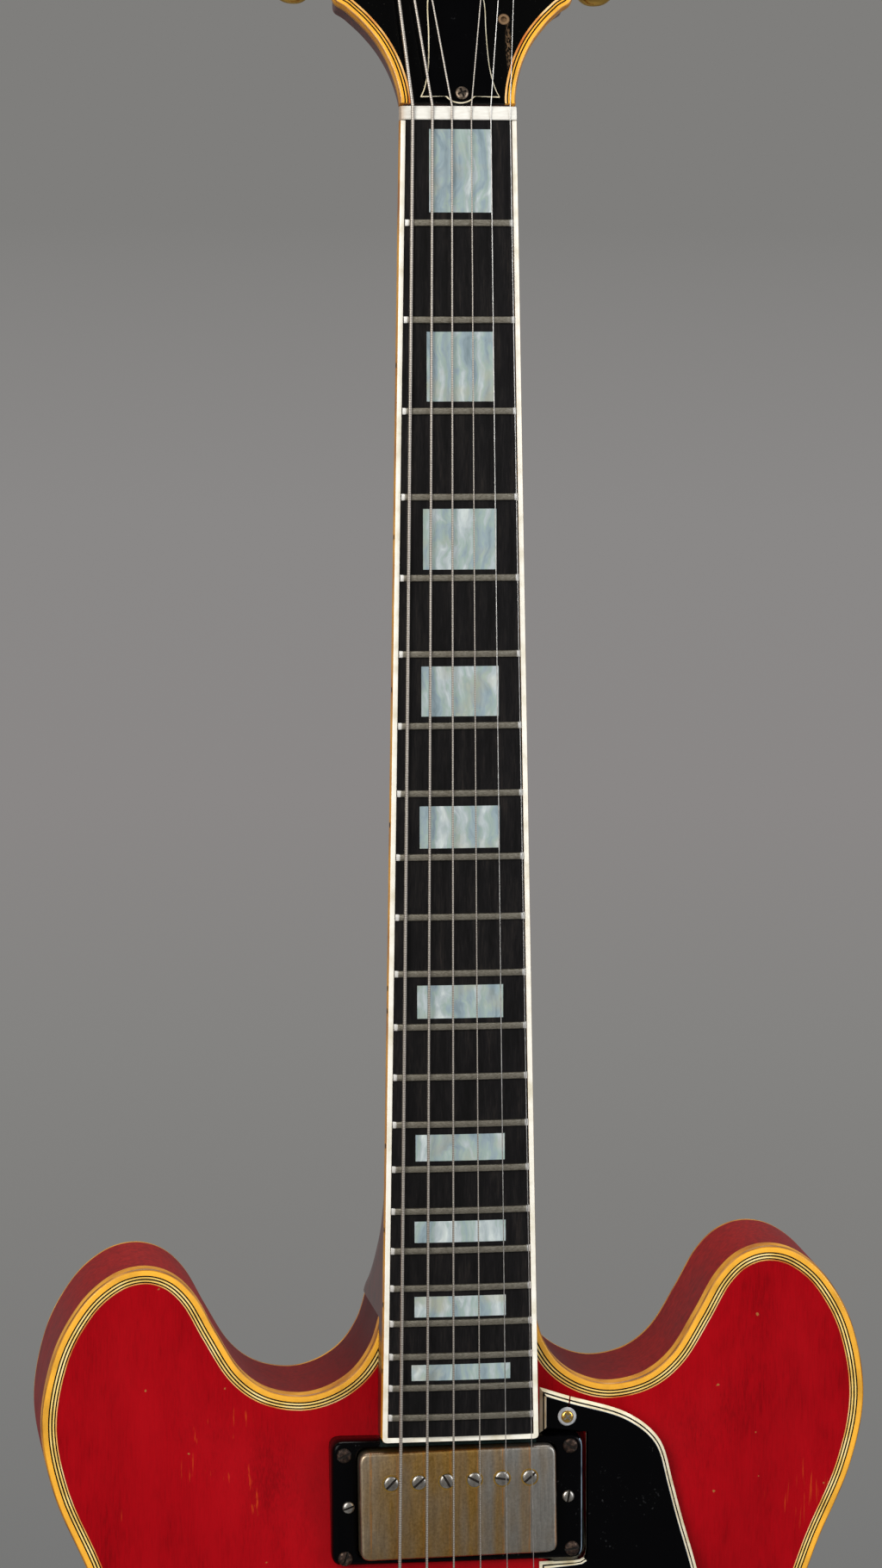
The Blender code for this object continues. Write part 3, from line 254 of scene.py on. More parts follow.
def cherry_lacquer(add, place):
    """Clear cherry lacquer, sprayed over maple ply and polished: deep gloss over dark clouds and
    upright fibres, with broken orange lines where it is worn through, and small pale chips."""
    # maple fibres 0.15 mm wide and 6 mm long, drawn 0.5 mm wide to show
    grain = spots(add, place, 0.5, 3.0, 0.07, 0.6)
    # stain that has gone in unevenly, in patches 20 mm wide and 60 mm tall
    cloud = spots(add, place, 20, 5.0, 0.34, 0.62)
    stain = add("ValToRGB", {0: add("Mix", {0: 0.36, 2: cloud, 3: grain})}, shades("lacquer", (0.36, 0.66),
        (0.45, 0.88), (0.53, 1.0), (0.64, 1.1)))
    # worn lines 0.5 mm wide and 25 mm long, only inside patches of 45 mm
    line = spots(add, place, 1.6, 3.0, 0.05, 0.6, (0.031, 0, 0.02))
    worn = add("Math", {0: line, 1: spots(add, place, 45)}, operation="MULTIPLY")
    wear = add("MapRange", {0: worn, 1: 0.36, 2: 0.42, 3: 0.0, 4: 0.8})
    streaked = add("Mix", {0: wear, 6: stain, 7: "B23A10"}, data_type="RGBA")
    # one chip of 1.2 mm in a few of the cells of 20 mm
    flat = add("Mapping", {"Vector": place, "Rotation": (-math.pi / 2, 0, 0)})
    cells = add("TexVoronoi", {"Vector": flat, "Scale": fine(20)}, take="Color", voronoi_dimensions="2D")
    few = add("Math", {0: cells, 1: 0.6}, operation="GREATER_THAN")
    reach = add("Math", {0: spots(add, place, 1), 1: 0.09, 2: cells.node.outputs["Distance"]},
        operation="MULTIPLY_ADD")
    near = add("MapRange", {0: reach, 1: 0.058, 2: 0.066, 3: 1.0, 4: 0.0})
    chips = add("Math", {0: few, 1: near}, operation="MULTIPLY")
    return {"Base Color": add("Mix", {0: chips, 6: streaked, 7: "9A5C30"}, data_type="RGBA"),
        "Roughness": add("MapRange", {0: cloud, 1: 0.3, 2: 0.7, 3: 0.3, 4: 0.42}),
        "Normal": add("Bump", {"Height": grain, "Distance": 0.00003, "Strength": 0.4}),
        "Specular IOR Level": 0.1}


def cherry_rim(add, place):
    """The same lacquer sprayed browner on the bent sides and back, with a dull bloom on it, and painted
    shade round the heel.
    """
    # maple fibres drawn 1.5 mm wide and 8 mm long to show, and patches of stain 60 mm across
    grain, cloud = spots(add, place, 1.5, 4.0, 0.2, 0.6), spots(add, place, 60, 4.0)
    red = add("ValToRGB", {0: add("Mix", {0: 0.6, 2: cloud, 3: grain})}, ((0.34, "640A0B"), (0.5, "800E0F"),
        (0.66, "961712")))
    # painted shade: darker for 90 mm round the heel, where the cutaways lie in shadow
    away = add("VectorMath", {0: place, 1: (BODY_X, 0.0, HEEL_FACE - 0.01)}, take="Value",
        operation="DISTANCE")
    shaded = add("MapRange", {0: away, 1: 0.03, 2: 0.09, 3: 0.25, 4: 1.0})
    return {"Base Color": add("Mix", {0: shaded, 6: "2C0809", 7: red}, data_type="RGBA"),
        "Roughness": add("MapRange", {0: cloud, 1: 0.3, 2: 0.7, 3: 0.36, 4: 0.5}),
        "Specular IOR Level": 0.1}


def neck_lacquer(add, place):
    """Cherry lacquer sprayed over mahogany, browner than the top, with short dark pores."""
    # pores 0.3 mm wide and 4 mm long, drawn 0.7 mm wide to show
    return mottled(add, place, 0.7, 3.0, ((0.36, "2E0D0C"), (0.5, "4C1714"), (0.66, "5C1E18")),
        {"Roughness": 0.34, "Coat Weight": 0.3, "Coat Roughness": 0.2}, 0.08)


def bare_maple(add, place):
    """Sawn maple and poplar inside the body, unfinished, dusty and pale brown."""
    # growth rings 2 mm apart and drawn out 15 mm along the body
    return mottled(add, place, 2, 4.0, ((0.3, "8A6A43"), (0.55, "B8935F"), (0.75, "C9A874")),
        {"Roughness": 0.75}, 0.13)


def amber_binding(add, place):
    """Cream celluloid, bent and scraped, yellowed to amber under old lacquer that has cracked."""
    # stains 12 mm across
    stain = add("ValToRGB", {0: spots(add, place, 12, 4.0)}, shades("binding", (0.3, 0.72), (0.48, 1.0),
        (0.62, 1.14)))
    # cracks 0.3 mm wide that cross the strip every 3 to 5 mm
    across = add("Mapping", {"Vector": add("UVMap", {}, uv_map="UVMap"), "Scale": (1.0, 0.05, 1.0)})
    crack = add("MapRange", {0: spots(add, across, 1.2, 1.0), 1: 0.68, 2: 0.74, 3: 0.0, 4: 0.4})
    return {"Base Color": add("Mix", {0: crack, 6: stain, 7: "9A6420"}, data_type="RGBA"),
        "Roughness": 0.24, "Coat Weight": 0.5, "Coat Roughness": 0.12}


def amber_edge(add, place):
    """The binding's standing side, browner where hands and lacquer have stained it."""
    # stains 14 mm across
    return mottled(add, place, 14, 5.0, ((0.32, "A3611A"), (0.5, "C88822"), (0.66, "DE9E30")),
        {"Roughness": 0.32, "Specular IOR Level": 0.2})


def yellow_ply(add, place):
    """A thin inner ply of the same celluloid, paler than the outer one."""
    # stains 8 mm across
    return mottled(add, place, 8, 3.0, ((0.32, "D9AE55"), (0.5, "F0CB72"), (0.68, "F6DC97")),
        {"Roughness": 0.3})


def orange_ply(add, place):
    """The innermost ply, tinted by the cherry lacquer that reaches over it."""
    # stains 16 mm across
    return mottled(add, place, 16, 4.0, ((0.36, "C4661F"), (0.5, "E2A552"), (0.66, "EFCB92")),
        {"Roughness": 0.32})


def black_ply(add, place):
    """Black celluloid, scraped level with the cream plies."""
    # dirt in spots of 6 mm
    return mottled(add, place, 6, 2.0, ((0.4, "060503"), (0.7, "140F08")),
        {"Roughness": 0.35, "Specular IOR Level": 0.12})


def stained_edge(add, place):
    """The outermost corner of the binding, where bare celluloid has gone brown."""
    # stains 11 mm across
    return mottled(add, place, 11, 5.0, ((0.34, "6E4420"), (0.5, "96642C"), (0.66, "B98238")),
        {"Roughness": 0.38})


def ivory_binding(add, place):
    """Ivory celluloid, scraped bare, so it has stayed pale."""
    # faint stains 7 mm across
    return mottled(add, place, 7, 4.0, ((0.3, "DCD3BC"), (0.48, "F0EADB"), (0.66, "F8F4E9")),
        {"Roughness": 0.35})


def polished_bone(add, place):
    """Sawn and polished bone, off-white with faint streaks, and brown for 2 mm at its bass end."""
    # streaks 4 mm long and 0.7 mm wide
    white = add("ValToRGB", {0: spots(add, place, 4, 4.0, 6)}, ((0.3, "DAD5CB"), (0.5, "E2DED5"),
        (0.7, "E9E6DE")))
    end = add("MapRange", {0: add("SeparateXYZ", {0: place}), 1: -NUT_HALF, 2: 0.0022 - NUT_HALF, 3: 0.75,
        4: 0.0})
    return {"Base Color": add("Mix", {0: end, 6: white, 7: "A5815C"}, data_type="RGBA"), "Roughness": 0.4}


def oiled_ebony(add, place):
    """Planed and oiled ebony: nearly black, with lengthwise pores and a faint brown figure."""
    # pores 0.15 mm wide and 8 mm long, drawn 0.45 mm wide to show
    pores = spots(add, place, 0.45, 3.0, 0.05, 0.65)
    # figure in bands 4 mm wide and 30 mm long
    band = spots(add, place, 4, 3.0, 0.14)
    black = add("ValToRGB", {0: add("Mix", {0: 0.5, 2: pores, 3: band})},
        ((0.38, "060505"), (0.5, "0E0C0D"), (0.6, "191615"), (0.7, "28221F")))
    return {"Base Color": black, "Roughness": 0.5, "Specular IOR Level": 0.14,
        "Normal": add("Bump", {"Height": pores, "Distance": 0.00004, "Strength": 0.5})}


def pearl(add, place):
    """Mother of pearl, sawn and polished: pale blue-grey sheets with slanting bands, warm spots."""
    # ripples of 18 mm bend the bands
    swirl = add("TexNoise", {"Vector": place, "Scale": fine(18), "Detail": 3.0}, take="Color")
    warped = add("Mix", {0: 0.012, 6: place, 7: swirl}, data_type="RGBA")
    # growth bands 4 mm wide, 30 mm long and leaning 5 degrees
    sheets = add("Mapping", {"Vector": warped, "Scale": (1, 1, 0.13), "Rotation": (0, math.radians(5), 0)})
    tone = add("ValToRGB", {0: spots(add, sheets, 4, 4.0, 1.0, 0.55)}, ((0.3, "78898F"), (0.42, "8F9FA6"),
        (0.5, "98A9A2"), (0.58, "A9B3B6"), (0.72, "CBD3D0")))
    # yellowed spots 11 mm across
    warm = add("MapRange", {0: spots(add, place, 11, 3.0), 1: 0.52, 2: 0.72, 3: 0.0, 4: 0.5})
    return {"Base Color": add("Mix", {0: warm, 6: tone, 7: "ABA68C"}, data_type="RGBA"), "Roughness": 0.25,
        "Coat Weight": 0.4, "Coat Roughness": 0.1}


def fret_wire(add, place):
    """Drawn nickel silver, worn dull and brown under the strings, with a painted highlight near white at the
    two ends.
    """
    across = add("SeparateXYZ", {0: place})
    out = add("Math", {0: across}, operation="ABSOLUTE")
    half = add("Math", {0: across.node.outputs["Z"], 1: (NUT_HALF - BOARD_END_HALF) / BOARD_END,
        2: NUT_HALF - BOARD_BINDING}, operation="MULTIPLY_ADD")
    left = add("Math", {0: half, 1: out}, operation="SUBTRACT")
    # the last millimetre at each end is painted near white, a highlight on the bevels
    bright = add("MapRange", {0: left, 1: 0.0015, 2: 0.0009})
    # tarnish in spots 1.1 mm long and 0.25 mm across
    worn = add("ValToRGB", {0: spots(add, place, 1.1, 5.0, 4.5, 0.7)}, ((0.34, "6E685C"), (0.5, "8F897C"),
        (0.66, "A9A497")))
    return {"Base Color": add("Mix", {0: bright, 6: worn, 7: "F6F5F2"}, data_type="RGBA"), "Metallic": 1.0,
        "Roughness": add("MapRange", {0: bright, 3: 0.46, 4: 0.52})}


def black_lacquer(add, place):
    """Black lacquer, sprayed and buffed, with faint dust and a rubbed patch by the old screw hole."""
    # dust specks drawn 0.7 mm across to show
    speck = add("MapRange", {0: spots(add, place, 0.7), 1: 0.72, 2: 0.78, 3: 0.0, 4: 0.25})
    dusty = add("Mix", {0: speck, 6: "040404", 7: "6A665E"}, data_type="RGBA")
    # the rubbed patch, 3 mm wide and 19 mm tall
    rub = add("Mapping", {"Vector": place, "Location": -(HEAD @ Vector(RUBBED))})
    oval = add("Mapping", {"Vector": rub, "Scale": (900, 0, 95)})
    reach = add("VectorMath", {0: oval}, take="Value", operation="LENGTH")
    near = add("MapRange", {0: reach, 1: 0.3, 2: 1.1, 3: 0.5, 4: 0.0})
    # scuffs in it 0.4 mm wide and 3 mm long
    rubbed = add("MapRange", {0: spots(add, place, 0.4, 4.0, 0.13), 1: 0.46, 2: 0.58})
    scuff = add("Math", {0: near, 1: rubbed}, operation="MULTIPLY")
    # bare wood in a ring 1 mm wide round the old screw hole
    hole = HEAD @ Vector((OLD_HOLE[0], 0, OLD_HOLE[1]))
    away = add("VectorMath", {0: place, 1: hole}, take="Value", operation="DISTANCE")
    ring = add("MapRange", {0: away, 1: 0.0017, 2: 0.0021, 3: 0.8, 4: 0.0})
    bared = add("Math", {0: scuff, 1: ring}, operation="MAXIMUM")
    return {"Base Color": add("Mix", {0: bared, 6: dusty, 7: "8A6E52"}, data_type="RGBA"),
        "Roughness": 0.16, "Specular IOR Level": 0.08}


def black_plastic(add, place):
    """Moulded and polished black plastic: gloss, with dust lying in patches."""
    # dust specks drawn 1.1 mm across to show, in patches of 10 mm
    dust, cloud = spots(add, place, 1.1, 3.0), spots(add, place, 10, 4.0)
    both = add("Math", {0: dust, 1: cloud}, operation="MULTIPLY")
    speck = add("MapRange", {0: both, 1: 0.39, 2: 0.5, 3: 0.0, 4: 0.25})
    black = add("Mix", {0: speck, 6: "020203", 7: "5E5E60"}, data_type="RGBA")
    # green dust that lies in the corner under the board's end, 4 mm tall
    across = add("SeparateXYZ", {0: place})
    height = add("MapRange", {0: across.node.outputs["Z"], 1: -0.468, 2: -0.458})
    corner = add("ValToRGB", {0: height}, ((0.15, 0.0), (0.35, 0.7), (0.6, 0.5), (0.75, 0.0)))
    inner = add("Math", {0: across, 1: 0.0, 2: BOARD_END_HALF}, operation="COMPARE")
    lying = add("Math", {0: corner, 1: inner}, operation="MULTIPLY")
    settled = add("Math", {0: lying, 1: dust}, operation="MULTIPLY")
    return {"Base Color": add("Mix", {0: settled, 6: black, 7: "2A403E"}, data_type="RGBA"),
        "Roughness": add("MapRange", {0: cloud, 1: 0.3, 2: 0.7, 3: 0.12, 4: 0.26}),
        "Specular IOR Level": 0.08}


def blue_edge(add, place):
    """A painted highlight: a blue-grey reflection along the polished arris where the guard's face meets its
    first cream ply, and along the pickup rings' right-hand bevel.
    """
    # the painted highlight is duller in stretches of 7 mm
    return mottled(add, place, 7, 2.0, ((0.4, "4E5A68"), (0.62, "8492A0")), {"Roughness": 0.3})


def cream_ply(add, place):
    """Cream plies of laminated plastic, bared by the bevelled edges."""
    # stains 5 mm across
    return mottled(add, place, 5, 3.0, ((0.32, "CDBD98"), (0.5, "E6DABB"), (0.68, "EFE6CE")),
        {"Roughness": 0.4})


def worn_cover(add, place):
    """Gold plate worn down to nickel and brass: grey metal, brown bands and bright lines under
    the strings, and a ring of fresh gold round each screw."""
    # how far each point lies from one string to the next
    across = add("SeparateXYZ", {0: place})
    share = PICKUP_S[0] / SCALE_LENGTH
    first, step = (nut + (bridge - nut) * share for nut, bridge in zip(NUT_STRINGS, BRIDGE_STRINGS))
    shifted = add("Math", {0: across, 1: first - step / 2}, operation="SUBTRACT")
    counted = add("Math", {0: shifted, 1: step}, operation="DIVIDE")
    part = add("Math", {0: counted}, operation="FRACT")
    # stains 8 mm wide and 25 mm long, brown where the gold is left
    wobble = spots(add, place, 8, 4.0, 0.32)
    # more gold left on the bass half, and in bands 4 mm wide beside the three treble strings
    along = add("MapRange", {0: across, 1: -0.036, 2: 0.036})
    plain = add("ValToRGB", {0: along}, ((0.0, 0.45), (0.15, 0.82), (0.5, 0.78), (0.62, 0.4), (0.8, 0.1)))
    amount = add("ValToRGB", {0: along}, ((0.0, 0.1), (0.5, 0.15), (0.56, 0.5), (0.85, 0.5), (0.875, 0.0)))
    band = add("ValToRGB", {0: part}, ((0.0, 0.0), (0.22, 1.0), (0.45, 1.0), (0.56, 0.0)))
    banded = add("Math", {0: band, 1: amount, 2: plain}, operation="MULTIPLY_ADD")
    brown = add("Math", {0: wobble, 1: 1.1, 2: banded}, operation="MULTIPLY_ADD")
    # strokes 0.8 mm wide and 20 mm long, and pitting 0.9 mm across
    strokes, pits = spots(add, place, 0.8, 3.0, 0.04, 0.7), spots(add, place, 0.9, 4.0, 1.0, 0.7)
    nickel = add("ValToRGB", {0: pits}, ((0.3, "98948D"), (0.5, "A5A19A"), (0.7, "AFABA4")))
    gold = add("ValToRGB", {0: pits}, ((0.3, "94702F"), (0.5, "AC8440"), (0.7, "BC9450")))
    mixed = add("MapRange", {0: brown, 1: 0.65, 2: 1.55, 3: 0.0, 4: 0.95})
    metal = add("Mix", {0: mixed, 6: nickel, 7: gold}, data_type="RGBA")
    line = add("ValToRGB", {0: part}, ((0.43, 0.0), (0.45, 1.0), (0.47, 0.0), (0.49, 0.9), (0.52, 0.0)))
    broken = add("MapRange", {0: strokes, 1: 0.4, 2: 0.58, 3: 0.1, 4: 0.9})
    bright = add("Math", {0: line, 1: broken}, operation="MULTIPLY")
    return {"Base Color": add("Mix", {0: bright, 6: metal, 7: "CC8430"}, data_type="RGBA"), "Metallic": 1.0,
        "Roughness": add("MapRange", {0: strokes, 1: 0.3, 2: 0.7, 3: 0.34, 4: 0.48})}


def gold_plate(add, place):
    """Gold plate on cast and turned metal, rubbed pale on the high spots."""
    # worn spots 6 mm across
    wear = spots(add, place, 6, 5.0, 1.0, 0.65)
    gold = add("ValToRGB", {0: wear}, shades("plating", (0.32, 0.88), (0.52, 1.0), (0.7, 1.1)))
    return {"Base Color": gold, "Metallic": 1.0,
        "Roughness": add("MapRange", {0: wear, 1: 0.3, 2: 0.7, 3: 0.2, 4: 0.32})}


def bright_steel(add, place):
    """Turned steel of screws, posts and shafts, lightly scratched."""
    # tarnish in spots of 1.4 mm
    return mottled(add, place, 1.4, 4.0, ((0.34, "96918B"), (0.52, "A8A49E"), (0.7, "BAB7B1")),
        {"Metallic": 1.0, "Roughness": 0.33})


def rusted_steel(add, place):
    """Plain steel wood screws gone brown and dull."""
    # rust in spots of 1.1 mm
    wear = spots(add, place, 1.1, 5.0)
    rust = add("ValToRGB", {0: wear}, ((0.34, "15100E"), (0.52, "33251F"), (0.7, "5E4C40")))
    return {"Base Color": rust, "Metallic": 0.7,
        "Roughness": add("MapRange", {0: wear, 1: 0.3, 2: 0.7, 3: 0.6, 4: 0.42})}


def dull_nickel(add, place):
    """Nickel plate on small steel screws, gone brownish grey."""
    # tarnish in spots of 1 mm
    return mottled(add, place, 1, 4.0, ((0.34, "5C4F45"), (0.52, "8A7A6B"), (0.7, "A89A8A")),
        {"Metallic": 1.0, "Roughness": 0.4})


def slot_dirt(add, place):
    """Dirt and old wax packed in the slots of screws, darkened further by painted shade."""
    # crumbs of 0.6 mm
    return mottled(add, place, 0.6, 3.0, ((0.35, "0B0806"), (0.65, "2A211A")), {"Roughness": 0.9})


def plain_string(add, place):
    """Plain drawn steel wire."""
    # dull stretches of 2.5 mm
    return mottled(add, place, 2.5, 2.0, ((0.35, "B9B6B2"), (0.65, "DAD8D4")),
        {"Metallic": 1.0, "Roughness": 0.3})


def wound_string(add, place):
    """Nickel wire wound over a steel core, with painted shade as a dark line in the groove between the
    turns.
    """
    # turns 0.35 mm apart, drawn 0.8 mm apart to show; a wave texture repeats every pi/10
    turns = add("TexWave", {"Vector": place, "Scale": fine(0.8) * math.pi / 10}, take=1, wave_type="BANDS",
        bands_direction="Z", wave_profile="SIN")
    wire = add("ValToRGB", {0: turns}, ((0.15, "A0988F"), (0.55, "B2AAA1"), (0.85, "BEB7AE")))
    return {"Base Color": wire, "Metallic": 1.0, "Roughness": 0.45,
        "Normal": add("Bump", {"Height": turns, "Distance": 0.00005, "Strength": 0.12})}


def knob_plastic(add, place):
    """Clear moulded plastic over black paint: deep, glossy and a little brown."""
    # smears 8 mm across
    return mottled(add, place, 8, 3.0, ((0.35, "0D0A08"), (0.7, "1C1610")),
        {"Roughness": 0.14, "Coat Weight": 0.6, "Coat Roughness": 0.05})


def gold_paint(add, place):
    """Gold paint of the dial numbers."""
    # brush marks of 2 mm
    return mottled(add, place, 2, 2.0, ((0.35, "B59A5A"), (0.7, "DCC68C")), {"Roughness": 0.45})


def clear_washer(add, place):
    """Moulded grey nylon, cloudy and a little see-through."""
    # cloudy spots of 1.7 mm
    return mottled(add, place, 1.7, 2.0, ((0.35, "8F9094"), (0.7, "B9BABC")),
        {"Roughness": 0.35, "Transmission Weight": 0.15})


def black_felt(add, place):
    """Pressed wool felt: matt, with a short fuzz."""
    # tufts of 0.4 mm
    fuzz = spots(add, place, 0.4, 3.0)
    return {"Base Color": add("ValToRGB", {0: fuzz}, ((0.35, "0C0C0C"), (0.7, "2A2A2A"))),
        "Roughness": 0.95, "Normal": add("Bump", {"Height": fuzz, "Distance": 0.0002})}


def seen_itself(add):
    """1 where a surface is seen straight, in a gloss or through something clear, and 0 for its light."""
    seen = 0.0
    for ray in ("Is Camera Ray", "Is Glossy Ray", "Is Transmission Ray"):
        seen = add("Math", {0: seen, 1: add("LightPath", {}, take=ray)}, operation="MAXIMUM")
    return seen


def studio_floor(add, place):
    """Matt pale paint near the guitar; further off the room's grey, a little darker near the front."""
    distance = add("VectorMath", {0: place}, take="Value", operation="LENGTH")
    near = add("Math", {0: add("MapRange", {0: distance, 1: 1.2, 2: 30.0}), 1: 0.3}, operation="POWER")
    tone = add("ValToRGB", {0: near}, ((0.25, "757574"), (0.39, "807F7D"), (0.44, "848381"),
        (0.53, "8A8786"), (0.67, "8A8887"), (1.0, "7F7E7C")))
    far = add("MapRange", {0: distance, 1: 0.9, 2: 1.25}, interpolation_type="SMOOTHSTEP")
    share = add("Math", {0: seen_itself(add), 1: far}, operation="MULTIPLY")
    nodes = place.id_data.nodes
    both = add("MixShader", {0: share, 1: nodes["Principled BSDF"].outputs[0],
        2: add("Emission", {"Color": tone})})
    place.id_data.links.new(both, nodes["Material Output"].inputs["Surface"])
    return {"Base Color": "8E8D8B", "Roughness": 0.9}


# ---- outlines and depths


def curve(keys, steps):
    """Points on a smooth curve through the keys, with so many steps to each span."""
    keys = [Vector(key) for key in keys]
    last = len(keys) - 1
    points = []
    for span in range(last):
        a, b, c, d = (keys[min(max(span + shift, 0), last)] for shift in (-1, 0, 1, 2))
        for step in range(steps):
            t = step / steps
            points.append(0.5 * (2 * b + (c - a) * t + (2 * a - 5 * b + 4 * c - d) * t ** 2
                + (3 * b - a - 3 * c + d) * t ** 3))
    return points + [keys[-1]]


def mirrored(half, steps, centre=0.0):
    """A closed outline from its right half, clockwise from the top."""
    right = curve(half, steps)
    left = [Vector((-point.x, point.y)) for point in reversed(right[:-1])]
    return [Vector((point.x + centre, point.y)) for point in right + left]


def inset(outline, distances):
    """A clockwise outline moved inwards, by one distance or by one for each point."""
    if isinstance(distances, (int, float)):
        distances = [distances] * len(outline)
    result = []
    for index, point in enumerate(outline):
        before = (point - outline[index - 1]).normalized()
        after = (outline[(index + 1) % len(outline)] - point).normalized()
        side = Vector((after.y, -after.x))
        middle = (Vector((before.y, -before.x)) + side).normalized()
        result.append(point + middle * distances[index] / max(middle.dot(side), 0.3))
    return result


def body_inset(outline, distance):
    """The body's outline moved inwards, square-cornered where the neck meets it."""
    moved = inset(outline, distance)
    for corner, way in ((0, 1), (-1, -1)):
        steps = 1
        while moved[corner + way * steps].y > moved[corner].y:
            steps += 1
        for step in range(1, steps):
            moved[corner + way * step] = moved[corner].lerp(moved[corner + way * steps], step / steps)
    return moved


def rounded(corners, reach, steps=4):
    """An outline whose corners are cut off by curves that begin so far from each corner."""
    corners = [Vector(corner) for corner in corners]
    reaches = reach if isinstance(reach, (list, tuple)) else [reach] * len(corners)
    result = []
    for index, corner in enumerate(corners):
        back = (corners[index - 1] - corner).normalized() * reaches[index]
        ahead = (corners[(index + 1) % len(corners)] - corner).normalized() * reaches[index]
        for step in range(steps + 1 if reaches[index] else 1):
            t = step / steps
            result.append(corner + back * (1 - t) ** 2 + ahead * t ** 2)
    return result


def rectangle(half_x, half_z, reach, centre=(0, 0), steps=4):
    x, z = centre
    return rounded(((x - half_x, z + half_z), (x + half_x, z + half_z), (x + half_x, z - half_z),
        (x - half_x, z - half_z)), reach, steps)


def divided(outline, longest):
    """The outline with its long sides cut into shorter ones."""
    result = []
    for index, point in enumerate(outline):
        after = outline[(index + 1) % len(outline)]
        pieces = math.ceil((after - point).length / longest)
        result += [point.lerp(after, step / pieces) for step in range(pieces)]
    return result


def disc(radius, steps=32, centre=(0, 0)):
    return [Vector((centre[0] + radius * math.sin(math.tau * step / steps),
        centre[1] + radius * math.cos(math.tau * step / steps))) for step in range(steps)]


def body_outline(steps):
    """The body's outline; its right horn sits a little higher than the left one."""
    outline = mirrored(BODY_HALF, steps, BODY_X)
    for point in outline:
        point.y += 0.011 * (point.x - BODY_X) * min(max((point.y + 0.56) / 0.12, 0), 1)
    return outline


EDGE = np.array(body_outline(4))
EDGE_STEPS = np.linalg.norm(np.roll(EDGE, -1, axis=0) - EDGE, axis=1)
EDGE_MIDDLES = (np.roll(EDGE, -1, axis=0) + EDGE) / 2


def arching(x, z):
    """How far the arching stands out of the rim's plane, from 0 to 1, at places on the body."""
    places = np.stack((np.atleast_1d(x), np.atleast_1d(z)), axis=1)
    reach = ((places[:, None] - EDGE_MIDDLES) ** 2).sum(axis=2) + 1e-8
    inward = (math.pi / (2 * (EDGE_STEPS / reach ** 2).sum(axis=1))) ** (1 / 3)
    rise = np.clip((inward - ARCH_FLAT) / ARCH_RUN, 0, 1)
    return rise * rise * (3 - 2 * rise)


def top_depth(x, z):
    return BODY_FRONT - TOP_ARCH * arching(x, z)


def back_depth(x, z):
    return BODY_BACK + BACK_ARCH * arching(x, z)


def seat(x, z, radius):
    """The foremost depth of the top under a round foot."""
    turns = np.arange(8) * math.tau / 8
    return float(top_depth(x + radius * np.cos(turns), z + radius * np.sin(turns)).min())


def drop_to_top(place, gap):
    """The point under a place, square to the strings, that clears the arched top by a gap."""
    point = Vector(place)
    for _ in range(4):
        travel = (float(top_depth(point.x, point.z)[0]) - gap - point.y) / math.cos(NECK_ANGLE)
        point += Vector((0, math.cos(NECK_ANGLE), -math.sin(NECK_ANGLE))) * travel
    return point


def board_half(distance):
    """Half the board's width so far along from the nut."""
    return NUT_HALF + (BOARD_END_HALF - NUT_HALF) * distance / BOARD_END


def crown(x, distance):
    """How far the round board stands above its own edges."""
    return (math.sqrt(BOARD_RADIUS ** 2 - x ** 2)
        - math.sqrt(BOARD_RADIUS ** 2 - board_half(distance) ** 2))


def string_x(index, distance):
    """How far across a string runs, so far along from the nut."""
    at_nut = NUT_STRINGS[0] + NUT_STRINGS[1] * index
    at_bridge = BRIDGE_STRINGS[0] + BRIDGE_STRINGS[1] * index
    return at_nut + (at_bridge - at_nut) * distance / SCALE_LENGTH


def string_depth(index, distance):
    lift = NUT_LIFT + (BRIDGE_LIFT - NUT_LIFT) * distance / SCALE_LENGTH
    return -crown(string_x(index, distance), distance * 0.5) - lift - STRING_RADII[index]


def on_neck(x, depth, distance):
    """A point across, behind the board's edges, and along from the nut."""
    return NECK @ Vector((x, depth, -distance))


# ---- modelling, as by hand


def at(x, y, z):
    return Matrix.Translation((x, y, z))


def swung(degrees, axis):
    return Matrix.Rotation(math.radians(degrees), 4, axis)


def named(item, name):
    item.name = item.data.name = name
    return item


def activate(item):
    """Select one object alone, so that the next operators act on it."""
    bpy.ops.object.select_all(action="DESELECT")
    bpy.context.view_layer.objects.active = item
    item.select_set(True)


def edit(item, *steps):
    """Run edit-mode operators on the whole of one object; a step is an operator or one with settings."""
    activate(item)
    bpy.ops.object.mode_set(mode="EDIT")
    bpy.ops.mesh.select_all(action="SELECT")
    for step in steps:
        step()
    bpy.ops.object.mode_set(mode="OBJECT")
    return item


def close_up():
    """Merge what meets, drop loose edges and turn every face outwards."""
    bpy.ops.mesh.select_all(action="SELECT")
    bpy.ops.mesh.remove_doubles(threshold=1e-6)
    bpy.ops.mesh.delete_loose()
    bpy.ops.mesh.select_all(action="SELECT")
    bpy.ops.mesh.normals_make_consistent(inside=False)


def loop_through(name, points, fill="NOTHING"):
    """A circle whose points are moved to the places given."""
    bpy.ops.object.select_all(action="DESELECT")
    bpy.ops.mesh.primitive_circle_add(vertices=len(points), fill_type=fill)
    item = named(bpy.context.object, name)
    item.data.vertices.foreach_set("co", np.array(points, dtype=np.float32).ravel())
    item.data.update()
    return item


def thickened(item, depth):
    """A sheet extruded along Y and closed up."""
    def extrude():
        bpy.ops.mesh.extrude_region_move(TRANSFORM_OT_translate={"value": (0, depth, 0)})

    return edit(item, extrude, close_up)


def plate(name, outline, front, back):
    """A plate with its outline in X and Z: a filled circle, extruded to its thickness."""
    item = loop_through(name, [(point[0], front, point[1]) for point in outline], "NGON")
    return thickened(item, back - front)


